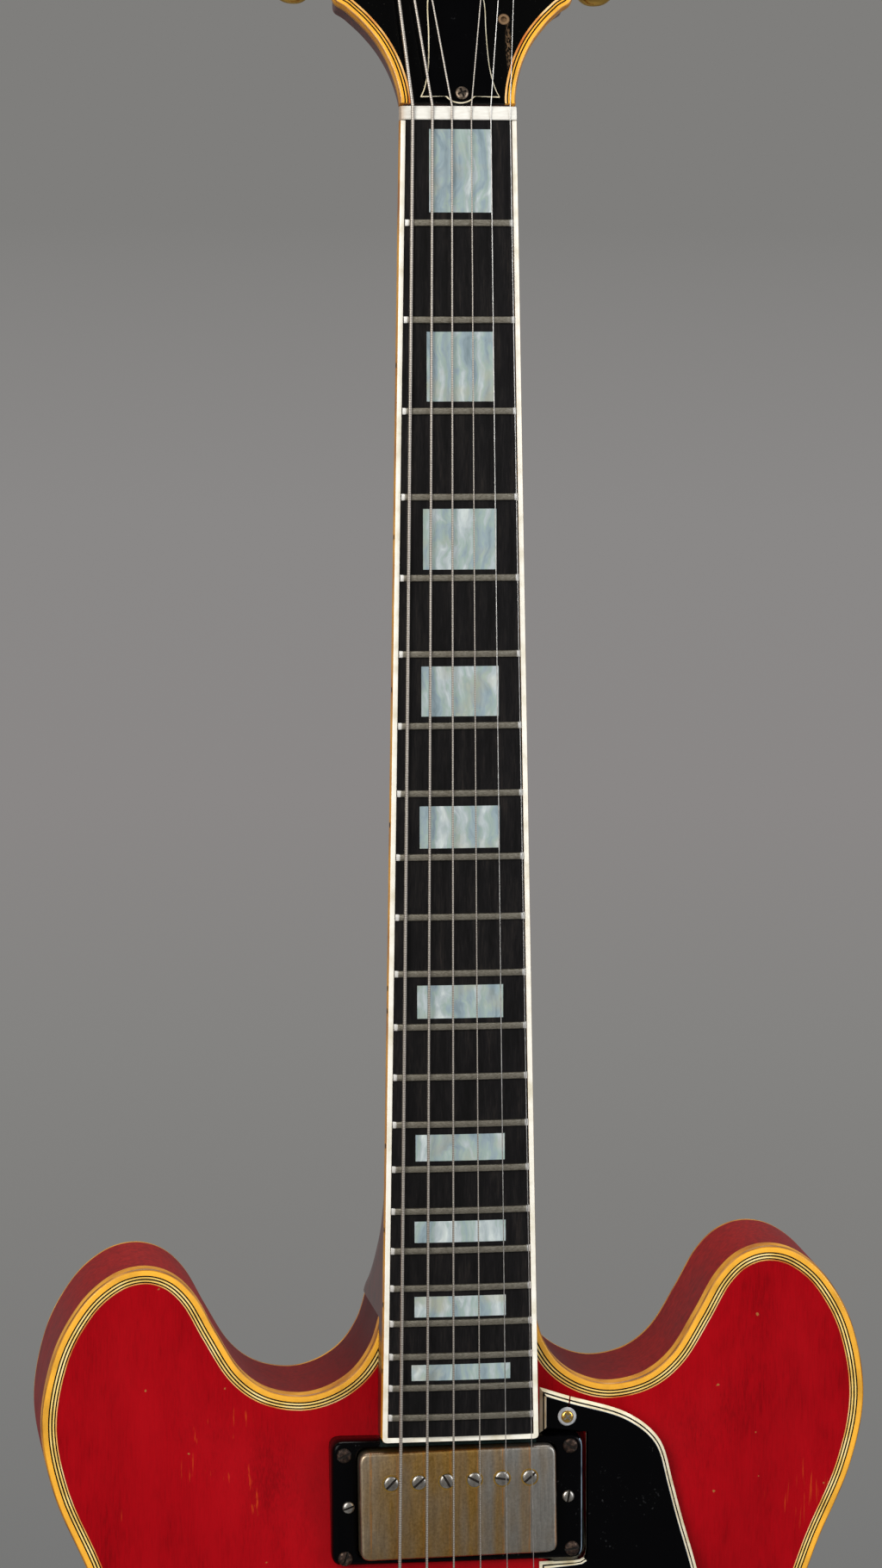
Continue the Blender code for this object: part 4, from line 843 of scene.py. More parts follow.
def block(name, low, high):
    """A cube sized to two corners."""
    bpy.ops.object.select_all(action="DESELECT")
    bpy.ops.mesh.primitive_cube_add(size=1)
    item = named(bpy.context.object, name)
    for vert in item.data.vertices:
        vert.co = [low[axis] + (vert.co[axis] + 0.5) * (high[axis] - low[axis]) for axis in range(3)]
    return item


def turned(name, profile, steps=32):
    """A piece turned about Y from (radius, depth) points that start and end on the axis, or meet."""
    def spin():
        bpy.ops.mesh.spin(steps=steps, angle=math.tau, center=(0, 0, 0), axis=(0, 1, 0))

    return edit(loop_through(name, [(radius, depth, 0) for radius, depth in profile]), spin, close_up)


def sweep(name, rings, closed=False, bands=(), swap=False):
    """A skin drawn out ring by ring from a first loop, closed on itself or capped at both ends.

    bands gives a finish number to each side of a ring, or to each step between rings if swap.
    """
    count = len(rings[0])
    item = loop_through(name, rings[0])
    activate(item)
    bpy.ops.object.mode_set(mode="EDIT")
    bpy.ops.mesh.select_all(action="SELECT")
    for ring in rings[1:] + rings[:1] * closed:
        bpy.ops.mesh.extrude_region_move()
        skin = bmesh.from_edit_mesh(item.data)
        for vert, place in zip([vert for vert in skin.verts if vert.select], ring):
            vert.co = place
    bpy.ops.object.mode_set(mode="OBJECT")

    mesh = item.data
    lengths = [np.cumsum([0.0] + [(Vector(a) - Vector(b)).length for a, b in zip(line, line[1:])])
        for line in (rings[0] + rings[0][:1], [ring[0] for ring in rings + rings[:1]])]
    layer = mesh.uv_layers.new(name="UVMap")
    for face in mesh.polygons:
        places = [divmod(mesh.loops[corner].vertex_index, count) for corner in face.loop_indices]
        first = min(row for row, _ in places)
        steps = [step for _, step in places]
        wraps = max(steps) - min(steps) > 1
        for corner, (row, step) in zip(face.loop_indices, places):
            u, v = lengths[0][count if wraps and step == 0 else step], lengths[1][row]
            layer.data[corner].uv = (v, u) if not swap else (u, v)
        if bands:
            face.material_index = bands[first if swap else (max(steps) if wraps else min(steps))]

    def cap():
        if not closed:
            bpy.ops.mesh.select_all(action="DESELECT")
            bpy.ops.mesh.select_non_manifold()
            bpy.ops.mesh.fill_holes(sides=0)

    return edit(item, cap, close_up)


def tube(name, path, radius, sides=10):
    """A round wire drawn along a path."""
    path = [Vector(place) for place in path]
    ahead = (path[1] - path[0]).normalized()
    across = ahead.orthogonal().normalized()
    rings = []
    for index, place in enumerate(path):
        before = (place - path[max(index - 1, 0)]).normalized() or (path[1] - path[0]).normalized()
        after = (path[min(index + 1, len(path) - 1)] - place).normalized() or before
        ahead = (before + after).normalized()
        across = (across - ahead * across.dot(ahead)).normalized()
        other = ahead.cross(across)
        stretch = 1 / max(ahead.dot(after), 0.5)
        turn = before.cross(after)
        ring = []
        for side in range(sides):
            angle = math.tau * side / sides
            spoke = across * math.cos(angle) + other * math.sin(angle)
            if turn.length > 1e-6:
                out = turn.normalized().cross(ahead)
                spoke += out * spoke.dot(out) * (stretch - 1)
            ring.append(place + spoke * radius)
        rings.append(ring)
    return sweep(name, rings)


def alter(item, kind, **settings):
    """Add one modifier and apply it."""
    activate(item)
    change = item.modifiers.new(kind.title(), kind)
    for name, value in settings.items():
        setattr(change, name, value)
    bpy.ops.object.modifier_apply(modifier=change.name)
    return item


def soften(item, width, segments=3, finish_number=-1, angle=40):
    """Round or chamfer the sharp edges, giving the new faces a finish of their own if asked."""
    return alter(item, "BEVEL", width=width, segments=segments, limit_method="ANGLE",
        angle_limit=math.radians(angle), material=finish_number, harden_normals=False)


def carve(item, tool, operation="DIFFERENCE"):
    """Cut a tool out of a piece, or join it on, and take the tool away."""
    alter(item, "BOOLEAN", object=tool, operation=operation, solver="EXACT")
    bpy.data.objects.remove(tool)
    return item


def settle(item, matrix):
    item.data.transform(matrix)
    item.data.update()
    return item


def duplicate(item, name):
    """A copy with its own mesh."""
    twin = item.copy()
    twin.data = item.data.copy()
    bpy.context.collection.objects.link(twin)
    return named(twin, name)


def joined(name, *items):
    """Several meshes made one."""
    activate(items[0])
    for item in items:
        item.select_set(True)
    bpy.ops.object.join()
    return named(items[0], name)


def number_faces(item, number, wanted):
    """Give one finish number to the faces whose middle and normal are wanted."""
    for face in item.data.polygons:
        if wanted(face.center, face.normal):
            face.material_index = number


def piece(item, body, slot, *paints, replaces=(), angle=34):
    """Finish, shade and hang a piece on the body that carries it."""
    for paint in paints:
        item.data.materials.append(finish(paint))
    activate(item)
    bpy.ops.object.shade_smooth_by_angle(angle=math.radians(angle))
    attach(item, body)
    if replaces:
        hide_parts(*replaces)
    return item


def spread(pattern, places, body, slot, *paints):
    """Finished copies of a pattern piece, by name and place; the pattern itself goes."""
    made = [settle(duplicate(pattern, name), place) for name, place in places.items()]
    bpy.data.objects.remove(pattern)
    for item in made:
        piece(item, body, slot, *paints)


def knurl(item, steps, share, wanted):
    """Press in every other ridge of a turned piece, where its radius and depth are wanted."""
    for vert in item.data.vertices:
        step = round(math.atan2(vert.co.z, vert.co.x) / math.tau * steps)
        if step % 2 and wanted(math.hypot(vert.co.x, vert.co.z), vert.co.y):
            vert.co.x *= share
            vert.co.z *= share


def screw(name, radius, height, slot=0.0008, cross=False):
    """A domed screw head with its back at depth 0 and a slot, or a cross, cut along X."""
    profile = [(radius * out, -height * up) for out, up in ((0, 1), (0.4, 0.97), (0.66, 0.88), (0.84, 0.74),
        (0.95, 0.54), (1, 0.3), (1, 0), (0, 0))]
    head = turned(name, profile, 28)
    reach = radius * (0.72 if cross else 1.2)
    for x, z in ((reach, slot / 2), (slot / 2, reach))[:2 if cross else 1]:
        carve(head, block("slot", (-x, -height - 0.001, -z), (x, -height * 0.2, z)))
    # the faces inside the slot take finish 1, dirt with painted shade
    number_faces(head, 1, lambda middle, normal: middle.y > -0.97 * height and middle.y < -0.1 * height
        and min(abs(middle.x), abs(middle.z)) <= slot * 0.51 and abs(normal.y) < 0.02 or normal.y < -0.99
        and middle.y > -0.5 * height)
    return head


def turn_y(angle):
    """Turn on the face of the instrument, anticlockwise as seen from the front."""
    return Matrix.Rotation(math.radians(angle), 4, "Y").inverted()


# ---- the pieces


def arched_plate(name, outline, depth_at, front, back):
    """A plate cut to an outline from a fine grid that is bent over the arching."""
    bpy.ops.object.select_all(action="DESELECT")
    bpy.ops.mesh.primitive_grid_add(x_subdivisions=72, y_subdivisions=88, size=1)
    item = named(bpy.context.object, name)
    places = np.array([vert.co for vert in item.data.vertices])
    x = BODY_X + 0.43 * places[:, 0]
    z = -0.64 + 0.52 * places[:, 1]
    places = np.stack((x, depth_at(x, z) + front, z), axis=1)
    item.data.vertices.foreach_set("co", places.astype(np.float32).ravel())
    thickened(item, back - front)
    return carve(item, plate("outline", outline, -0.06, 0.06), "INTERSECT")


def sound_hole(side, grown=0.0):
    """A cutter for a sound hole: a tapering stem that hooks round to an eye at each end."""
    spine = curve(mm((-10.5, 50), (-6, 58.5), (1.5, 59), (5, 48), (3, 24), (0, 0)), 6)
    spine += [-point for point in reversed(spine[:-1])]
    left, right = [], []
    for index, point in enumerate(spine):
        half = 0.0012 + grown + 0.003 * math.sin(math.pi * index / (len(spine) - 1))
        ahead = spine[min(index + 1, len(spine) - 1)] - spine[max(index - 1, 0)]
        across = Vector((ahead.y, -ahead.x)).normalized() * half
        left.append(point - across)
        right.append(point + across)
    lean = Matrix.Rotation(math.radians(-9), 2)
    flip = Vector((side, 1))
    place = Vector((BODY_X + side * 0.088, -0.634))
    outline = [place + (lean @ point) * flip for point in left + right[::-1]]
    cutter = plate("sound_hole", outline, -0.06, -0.005)
    for eye, radius in ((Vector((-0.0125, 0.046)), 0.0052), (Vector((0.0125, -0.046)), 0.0064)):
        centre = place + (lean @ eye) * flip
        carve(cutter, plate("eye", disc(radius + grown, 32, centre), -0.061, -0.004), "UNION")
    return cutter


def mortise():
    return block("mortise", (-0.0168, -0.06, TENON_END - GAP), (0.0168, 0.0023, -0.4))


def pickup_wells():
    """Cutters for the two pickup openings, square to the strings."""
    wells = []
    for distance in PICKUP_S:
        low = (PICKUP_X - PICKUP_HALF[0] - 0.0008, -0.02, -distance - PICKUP_HALF[1] - 0.0008)
        high = (PICKUP_X + PICKUP_HALF[0] + 0.0008, 0.0235, -distance + PICKUP_HALF[1] + 0.0008)
        wells.append(settle(block("well", low, high), NECK))
    return wells


class GUITAR_OT_plates(bpy.types.Operator):
    """Arch the top and back, and cut the bound sound holes and the holes for the hardware"""

    bl_idname = "guitar.plates"
    bl_label = "Arched top and back"
    bl_options = {"REGISTER", "UNDO"}

    def execute(self, context):
        sizes = context.scene.guitar_sizes
        outline = body_outline(4)
        top = arched_plate("arched_top", body_inset(outline, TOP_PLIES + FIT), top_depth, 0.0, TOP_THICK)
        for side, name in ((-1, "bass"), (1, "treble")):
            edge = duplicate(top, f"sound_hole_edge_{name}")
            carve(edge, sound_hole(side, sizes.sound_hole_edge), "INTERSECT")
            carve(edge, sound_hole(side))
            carve(top, sound_hole(side, sizes.sound_hole_edge))
            soften(edge, 0.0002, 1)
            piece(edge, "instrument", "aged_binding", amber_edge)
        bridge_z = -SCALE_LENGTH * math.cos(NECK_ANGLE)
        holes = [(place, KNOB_HOLE) for place in (*KNOBS, SELECTOR)]
        holes += [(place, SWITCH_HOLE) for place in (TOGGLE, JACK)]
        holes += [((BODY_X + side * BRIDGE_POST, bridge_z), 0.0031) for side in (-1, 1)]
        for place, radius in holes:
            carve(top, plate("hole", disc(radius, 24, place), -0.07, 0.0))
        for tool in [mortise()] + pickup_wells():
            carve(top, tool)
        number_faces(top, 1, lambda middle, normal: normal.y > -0.6)
        piece(top, "instrument", "cherry_top", cherry_lacquer, bare_maple, replaces=("body_top",))

        back = arched_plate("arched_back", body_inset(outline, BACK_EDGE + FIT), back_depth,
            -BACK_THICK, 0.0)
        number_faces(back, 1, lambda middle, normal: normal.y < 0.6)
        piece(back, "instrument", "cherry_body", cherry_rim, bare_maple, replaces=("body_back",))
        return {"FINISHED"}


def edge_strip(name, outline, section, bands):
    """A strip round the body's outline, from (inward, depth) points with a finish to each side."""
    rings = [[(point.x, depth, point.y) for point in body_inset(outline, inward)]
        for inward, depth in section]
    return sweep(name, rings, True, bands, True)


class GUITAR_OT_rim(bpy.types.Operator):
    """Bend the sides with their linings, and lay the plies of the top's and back's edges"""

    bl_idname = "guitar.rim"
    bl_label = "Sides and bindings"
    bl_options = {"REGISTER", "UNDO"}

    def execute(self, context):
        outline = body_outline(8)
        front, back = BODY_FRONT + TOP_THICK, BODY_BACK - BACK_THICK
        rim = edge_strip("bent_sides", outline, ((0, front), (LINING, front), (LINING, front + 0.005),
            (RIM_WALL, front + 0.012), (RIM_WALL, back - 0.012), (LINING, back - 0.005), (LINING, back),
            (0, back)), (1, 1, 1, 1, 1, 1, 1, 0))
        carve(rim, mortise())
        piece(rim, "instrument", "cherry_body", cherry_rim, bare_maple, replaces=("body_sides",))

        plies = ((0, TOP_THICK, 1), (0, 0.001, 5), (0.00012, 0.0005, 5), (0.00034, 0.0002, 1),
            (0.0006, 0.00006, 0), (0.001, 0, 0), (0.0023, 0, 2), (0.0028, 0, 3), (0.00335, 0, 2),
            (0.0039, 0, 3), (0.00445, 0, 2), (0.00492, 0, 4), (TOP_PLIES, 0, 1),
            (TOP_PLIES, TOP_THICK, 1))
        top_edge = edge_strip("top_edge_plies", outline,
            [(inward, BODY_FRONT + depth) for inward, depth, _ in plies], [band for _, _, band in plies])
        carve(top_edge, mortise())
        piece(top_edge, "instrument", "aged_binding", amber_binding, amber_edge, black_ply, yellow_ply,
            orange_ply, stained_edge, replaces=("top_binding",), angle=50)

        rounding = ((0, -BACK_THICK), *mm((0, -2.2), (0, -0.9), (0.3, -0.3), (0.9, 0)), (BACK_EDGE, 0),
            (BACK_EDGE, -BACK_THICK))
        back_edge = edge_strip("back_edge", outline,
            [(inward, BODY_BACK + depth) for inward, depth in rounding], (1, 0, 0, 0, 0, 0, 0))
        piece(back_edge, "instrument", "aged_binding", amber_edge, cherry_rim, replaces=("back_binding",),
            angle=50)
        return {"FINISHED"}


def post_holes(steps, front, back):
    """Cutters for the six tuning posts, upright to the headstock."""
    return [plate("post_hole", disc(POST_HOLE, steps, (side * TUNER_X, TUNER_FIRST + TUNER_STEP * row)),
        front, back) for side in (-1, 1) for row in range(3)]


class GUITAR_OT_neck(bpy.types.Operator):
    """Carve the neck with its heel, tongue, tenon and headstock core"""

    bl_idname = "guitar.neck"
    bl_label = "Neck"
    bl_options = {"REGISTER", "UNDO"}

    def execute(self, context):
        def front(z):
            return -NUT_FRONT + z * math.tan(NECK_ANGLE) + BOARD_THICK + GAP

        # height, half width, depth, tilt, and how square the section is: 1 round, near 0 square
        stations = ((0.02, 0.0198, 0.004, 0.007, 0.85), (0.01, 0.0196, 0.009, 0.0055, 0.85),
            (0, 0.0196, 0.0128, 0.003, 0.85), (-0.02, 0.02, 0.015, 0, 0.85),
            (-0.12, 0.0216, 0.016, 0, 0.85), (-0.3, 0.0246, 0.018, 0, 0.85),
            (-0.36, 0.0258, 0.0195, 0, 0.76), (-0.385, 0.0266, 0.0235, 0, 0.52),
            (-0.4, 0.0273, 0.0325, 0, 0.32), (-0.41, 0.0277, 0.043, 0, 0.22),
            (-0.4155, 0.028, 0.05, 0, 0.16), (HEEL_FACE, 0.0281, 0.0535, 0, 0.14))
        rings = []
        for z, half, depth, tilt, square in curve(stations, 5):
            face = front(min(z, 0.004)) + max(z - 0.004, 0) * math.tan(HEAD_ANGLE + NECK_ANGLE)
            ring = []
            for step in range(29):
                angle = math.pi * step / 28
                reach = math.sin(angle) ** square
                side = math.copysign(abs(math.cos(angle)) ** min(square / 0.85, 1), math.cos(angle))
                ring.append((half * side * (0.965 + 0.035 * reach), face + depth * reach, z + tilt * reach))
            rings.append(ring)
        neck = sweep("neck_wood", rings)

        tongue = []
        for z in (HEEL_FACE + 0.006, HEEL_FACE, -0.426, -0.432, -0.439, -0.446, -0.453, TENON_END):
            half = board_half(-z) - 0.0003
            low = float(top_depth(np.array((0.0, BODY_X, half * 0.6)), np.full(3, z)).min()) - 0.0002
            tongue.append([(-half, front(z), z), (half, front(z), z), (half, low, z), (-half, low, z)])
        carve(neck, sweep("tongue", tongue), "UNION")
        carve(neck, block("tenon", (-0.0165, -0.03, TENON_END), (0.0165, 0.002, HEEL_FACE + 0.004)), "UNION")
        core_front, core_back = VENEER + FIT, VENEER + GAP + HEAD_THICK
        line = inset(mirrored(HEAD_HALF, 5)[::-1], 0.0018)
        line[0].y = line[-1].y = HEAD_HALF[0][1]
        core = plate("core", line, core_front, core_back)

        def round_back():
            bpy.ops.mesh.select_all(action="DESELECT")
            shape = bmesh.from_edit_mesh(core.data)
            for edge in shape.edges:
                edge.select_set(all(vert.co.y > core_back - 1e-5 and vert.co.z > 0.002
                    for vert in edge.verts))
            bpy.ops.mesh.bevel(offset=0.006, segments=5, affect="EDGES")

        carve(neck, settle(edit(core, round_back), HEAD), "UNION")
        cuts = post_holes(20, -0.02, 0.04)
        cuts.append(block("rod_pocket", (-0.0055, -0.01, 0.003), (0.0055, 0.0085, 0.029)))
        for cut in cuts:
            carve(neck, settle(cut, HEAD))
        for low, high in (((-0.0032, 0.002, -0.405), (0.0032, 0.0142, 0.016)),
                ((-0.03, -0.01, -0.003), (0.03, BOARD_THICK + GAP, NUT_LENGTH + FIT))):
            carve(neck, settle(block("seat", low, high), NECK))
        piece(neck, "instrument", "neck_wood", neck_lacquer, replaces=("neck",), angle=40)
        return {"FINISHED"}


class GUITAR_OT_fingerboard(bpy.types.Operator):
    """Plane the ebony board and lay its pearl blocks, binding and side dots"""

    bl_idname = "guitar.fingerboard"
    bl_label = "Fingerboard"
    bl_options = {"REGISTER", "UNDO"}

    def execute(self, context):
        rings = []
        end = BOARD_END - BOARD_BINDING
        for step in range(13):
            distance = 0.0001 + (end - 0.0001) * step / 12
            half = board_half(distance) - BOARD_BINDING
            xs = [half * (side / 12 - 1) for side in range(25)]
            rings.append([on_neck(x, -crown(x, distance), distance) for x in xs]
                + [on_neck(half, BOARD_THICK, distance), on_neck(-half, BOARD_THICK, distance)])
        piece(sweep("ebony_board", rings), "instrument", "ebony", oiled_ebony, replaces=("fingerboard",))

        for number, (left, right, low, high) in enumerate(BLOCKS):
            rings = []
            for distance in (low / 1000, high / 1000):
                xs = [(left + (right - left) * step / 12) / 1000 for step in range(13)]
                rings.append([on_neck(x, -crown(x, distance) - 0.00004, distance) for x in xs]
                    + [on_neck(xs[-1], 0.0006, distance), on_neck(xs[0], 0.0006, distance)])
            piece(sweep(f"pearl_block_{number + 1:02d}", rings), "instrument", "ivory", pearl)

        start, half = 0.0001, board_half  # the binding starts just clear of the nut
        outline = [(-half(start), -start), (half(start), -start), (half(BOARD_END), -BOARD_END),
            (-half(BOARD_END), -BOARD_END)]
        strip = plate("board_edge", rounded(outline, [0, 0, 0.0016, 0.0016]), 0.0, BOARD_THICK)
        hollow = [(-half(start) + BOARD_BINDING, 0.01), (half(start) - BOARD_BINDING, 0.01),
            (half(end) - BOARD_BINDING, -end), (-half(end) + BOARD_BINDING, -end)]
        carve(strip, plate("hollow", hollow, -0.01, 0.02))
        for vert in strip.data.vertices:
            if vert.co.y < 1e-6 and abs(vert.co.x) < half(-vert.co.z) - BOARD_BINDING / 2:
                vert.co.y = -crown(vert.co.x, -vert.co.z)
        soften(strip, 0.00025, 2, angle=60)
        number_faces(strip, 1, lambda middle, normal: normal.y > -0.75)
        settle(strip, NECK)
        piece(strip, "instrument", "ivory", ivory_binding, amber_edge, replaces=("fingerboard_binding",))

        dot = turned("dot", mm((0, -0.1), (0.9, -0.1), (1, 0), (1, 0.4), (0, 0.4)), 16)
        places = {}
        for fret in (3, 5, 7, 9, 12, 15, 17, 19, 21):
            middle = SCALE_LENGTH * (1 - (2 ** (-fret / 12) + 2 ** (-(fret - 1) / 12)) / 2)
            count = 2 if fret == 12 else 1
            for each in range(count):
                along = middle + (each - (count - 1) / 2) * 0.008
                places[f"side_dot_{fret:02d}_{each + 1}"] = (
                    NECK @ at(-board_half(along), 0.0027, -along) @ swung(-90, "Z"))
        spread(dot, places, "instrument", "black", black_ply)
        return {"FINISHED"}


class GUITAR_OT_frets(bpy.types.Operator):
    """Press in the frets, low and worn flat, between the board's bindings"""

    bl_idname = "guitar.frets"
    bl_label = "Frets"
    bl_options = {"REGISTER", "UNDO"}

    def execute(self, context):
        sizes = context.scene.guitar_sizes
        width, height = sizes.fret_width / 2, sizes.fret_height
        section = [(1.0, -0.1), (1.0, 0.45), (0.95, 0.78), (0.84, 0.95), (0.68, 1.0), (-0.68, 1.0),
            (-0.84, 0.95), (-0.95, 0.78), (-1.0, 0.45), (-1.0, -0.1)]
        for number in range(1, FRETS + 1):
            distance = SCALE_LENGTH * (1 - 2 ** (-number / 12))
            half = board_half(distance) - BOARD_BINDING - 0.0001
            stations = [(-half, 0.3), (0.001 - half, 0.97), (0.0013 - half, 1.0)]
            stations += [(half * step / 5, 1.0) for step in range(-4, 5)]
            stations += [(half - 0.0009, 1.0), (half - 0.0007, 0.97), (half, 0.3)]
            rings = [[on_neck(x, -crown(x, distance) - height * rise * full, distance + width * along)
                for along, rise in section] for x, full in stations]
            piece(sweep(f"fret_{number:02d}", rings), "instrument", "steel", fret_wire, angle=20)
        return {"FINISHED"}


class GUITAR_OT_nut(bpy.types.Operator):
    """Shape the bone nut and file a slot under each string"""

    bl_idname = "guitar.nut"
    bl_label = "Nut"
    bl_options = {"REGISTER", "UNDO"}

    def execute(self, context):
        half = NUT_HALF - 0.0001
        rings = []
        for step in range(13):
            x = half * (step / 6 - 1)
            end = 0.00025 if step in (0, 12) else 0
            top = -0.0009 - 0.0008 * (1 - (x / half) ** 2) + end
            section = ((0, 0.0053), (0, top + 0.0002), (0.0003, top), (0.0026, top + 0.0002),
                (0.004, top + 0.0006), (NUT_LENGTH, top + 0.0014), (NUT_LENGTH, 0.0053))
            rings.append([NECK @ Vector((x, depth, along)) for along, depth in section])
        nut = sweep("bone_nut", rings)
        for index in range(6):
            radius = STRING_RADII[index] + 0.00012
            low = string_depth(index, 0) + STRING_RADII[index] + 0.0001
            slot = block("slot", (string_x(index, 0) - radius, -0.006, -0.002),
                (string_x(index, 0) + radius, low, NUT_LENGTH + 0.002))
            carve(nut, settle(soften(slot, radius * 0.7, 3), NECK))
        piece(nut, "instrument", "bone", polished_bone, replaces=("nut",))
        return {"FINISHED"}


class GUITAR_OT_headstock(bpy.types.Operator):
    """Lay the black face and its bound edge, and screw down the rod's cover"""

    bl_idname = "guitar.headstock"
    bl_label = "Headstock face"
    bl_options = {"REGISTER", "UNDO"}

    def execute(self, context):
        rim = mirrored(HEAD_HALF, 8)[::-1]

        def line(inward):
            moved = inset(rim, inward)
            moved[0].y = moved[-1].y = rim[0].y
            return moved

        # how far inwards and how deep each ply begins, and the number of its finish
        plies = ((0.0003, 0.0042, 1), (0, 0.0038, 1), (0, 0.0005, 5), (0.0002, 0.00015, 5), (0.0005, 0, 0),
            (0.0016, 0, 2), (0.0021, 0, 0), (0.0026, 0, 2), (0.0031, 0, 4), (HEAD_PLIES, 0, 1),
            (HEAD_PLIES, VENEER, 1), (0.0016, VENEER, 1), (0.0016, 0.0042, 1))
        lines = [line(inward) for inward, _, _ in plies]
        rings = [[HEAD @ Vector((track[step].x, depth, track[step].y))
            for track, (_, depth, _) in zip(lines, plies)] for step in range(len(rim))]
        edge = sweep("headstock_edge_plies", rings, False, [band for _, _, band in plies])
        piece(edge, "instrument", "aged_binding", amber_binding, amber_edge, black_ply, yellow_ply,
            orange_ply, stained_edge, replaces=("headstock_binding",), angle=50)

        face = plate("headstock_face", line(HEAD_PLIES), 0.0, VENEER)
        for hole in post_holes(24, -0.01, 0.01):
            carve(face, hole)
        carve(face, block("pocket", (-0.0055, -0.01, 0.0042), (0.0055, 0.01, 0.029)))
        carve(face, plate("old_screw_hole", disc(0.0011, 20, OLD_HOLE), -0.01, 0.0012))
        piece(settle(face, HEAD), "instrument", "black", black_lacquer, replaces=("headstock_veneer",))

        bulge = curve(mm((-5.2, 3), (-3, 1.1), (0, 0.4), (3, 1.1), (5.2, 3)), 4)
        side = curve(mm((14, 2.6), (12.4, 6.2), (10.8, 14), (10.2, 26), (10.1, 37), (8.2, 45), (4.6, 49.6),
            (0, 51.4)), 4)
        bell = bulge + side + [Vector((-point.x, point.y)) for point in reversed(side[:-1])]
        cover = plate("rod_cover", [(point.x + 0.0006, point.y) for point in bell[::-1]], -0.0021, -GAP)
        soften(cover, 0.0006, 1)
        number_faces(cover, 1, lambda middle, normal: -0.95 < normal.y < -0.4)
        piece(settle(cover, HEAD), "instrument", "black", black_plastic, cream_ply,
            replaces=("truss_rod_cover",))
        spread(screw("head", 0.00235, 0.0009, 0.0007, True), {
            "cover_screw_low": HEAD @ at(0.0012, -0.002, 0.0041) @ turn_y(20),
            "cover_screw_high": HEAD @ at(0.0008, -0.002, 0.0466) @ turn_y(50)},
            "instrument", "steel", dull_nickel, slot_dirt)
        return {"FINISHED"}


def post_spot(index):
    """Which side a tuning post stands on, and its place; three a side, the lowest string's first."""
    side, row = (-1, index) if index < 3 else (1, 5 - index)
    return side, HEAD @ at(side * TUNER_X, 0, TUNER_FIRST + TUNER_STEP * row)


class GUITAR_OT_tuners(bpy.types.Operator):
    """Cast the tuner housings and turn their posts, bushings and keys"""

    bl_idname = "guitar.tuners"
    bl_label = "Machine heads"
    bl_options = {"REGISTER", "UNDO"}

    def execute(self, context):
        rear = VENEER + GAP + HEAD_THICK + GAP
        key_depth, key_height = rear + 0.0056, -0.0068
        for number in range(6):
            side, place = post_spot(number)
            inside = at(0, key_depth, key_height)

            corners = mm((-8.5, 7.8), (8.5, 7.8), (8.5, -12.5), (-8.5, -12.5))
            shell = plate("shell", rounded(corners, 0.0032), rear - GAP / 2, rear + 0.0112)
            soften(shell, 0.0016, 3, angle=60)
            carve(shell, block("room", (-0.0062, rear - 0.002, -0.0102), (0.0062, rear + 0.0092, 0.0055)))
            collar = turned("collar", mm((2.7, 0), (4, 0), (3.7, 2.2), (2.7, 2.2)), 24)
            settle(collar, at(side * 0.0083, key_depth, key_height) @ swung(-90 * side, "Z"))
            carve(shell, settle(plate("bore", disc(0.0027, 20), 0, 0.012), inside @ swung(-90 * side, "Z")))
            cap = settle(screw("cap", 0.0022, 0.0007, 0.0006),
                at(0, rear + 0.0111, -0.0035) @ swung(180, "Z"))
            piece(settle(joined(shell.name, shell, collar, cap), place), "instrument", "gold", gold_plate,
                slot_dirt, replaces=(f"tuner_housing_{number + 1}",))

            profile = ((0, -0.0095), (0.0014, -0.0095), (0.0025, -0.009), (0.003, -0.0084),
                (0.003, -0.0068), (0.0025, -0.0058), (POST_NECK, -0.005), (0.0025, -0.004), (0.003, -0.003),
                (0.003, rear + 0.0036), (0.0042, rear + 0.0036), (0.0042, rear + 0.0076),
                (0, rear + 0.0076))
            post = turned(f"string_post_{number + 1}", profile, 28)
            eye = plate("eye", disc(0.0008, 16), -0.006, 0.006)
            carve(post, settle(eye, at(0, -0.0053, 0) @ swung(90, "Z")))
            piece(settle(post, place), f"post_{number + 1}", "gold", gold_plate,
                replaces=(f"tuner_post_{number + 1}",))

            bushing = turned(f"post_bushing_{number + 1}", mm((3.2, -2.4), (4.7, -2.2), (5, -1.2),
                (6.4, -0.9), (6.4, -0.05), (3.2, -0.05)), 36)
            piece(settle(bushing, place), "instrument", "gold", gold_plate)

            stations = curve(mm((-5.5, 2.2, 2.2), (20, 2.2, 2.2), (21.2, 3, 2.9), (22.6, 7.2, 3.9),
                (25, 9.4, 4.5), (28, 10, 4.8), (31.8, 9.3, 4.6), (35, 6.6, 3.5), (36.2, 3, 1.8)), 3)
            key = sweep(f"key_{number + 1}",
                [[(side * along, thick * spot.x, tall * spot.y) for spot in disc(1, 24)]
                for along, tall, thick in stations])
            piece(settle(key, place @ inside), f"key_{number + 1}", "gold", gold_plate,
                replaces=(f"tuner_key_{number + 1}",), angle=60)
        return {"FINISHED"}


def string_path(index):
    """The middle line of one string: vibrato shaft, saddle, nut and post."""
    radius = STRING_RADII[index]
    saddle = on_neck(string_x(index, SCALE_LENGTH), string_depth(index, SCALE_LENGTH), SCALE_LENGTH)
    low = Vector((saddle.x, SHAFT[0] + SHAFT_RADIUS + radius + GAP, SHAFT[1]))
    nut_front, nut_back = (on_neck(string_x(index, 0), string_depth(index, 0), -behind)
        for behind in (0.0002, NUT_LENGTH))
    side, place = post_spot(index)
    post = place @ Vector((-side * (POST_NECK + radius + GAP), -0.0048, 0))
    return [low, low.lerp(saddle, 0.97), saddle + Vector((0, 0, 0.0006)), nut_front, nut_back, post]


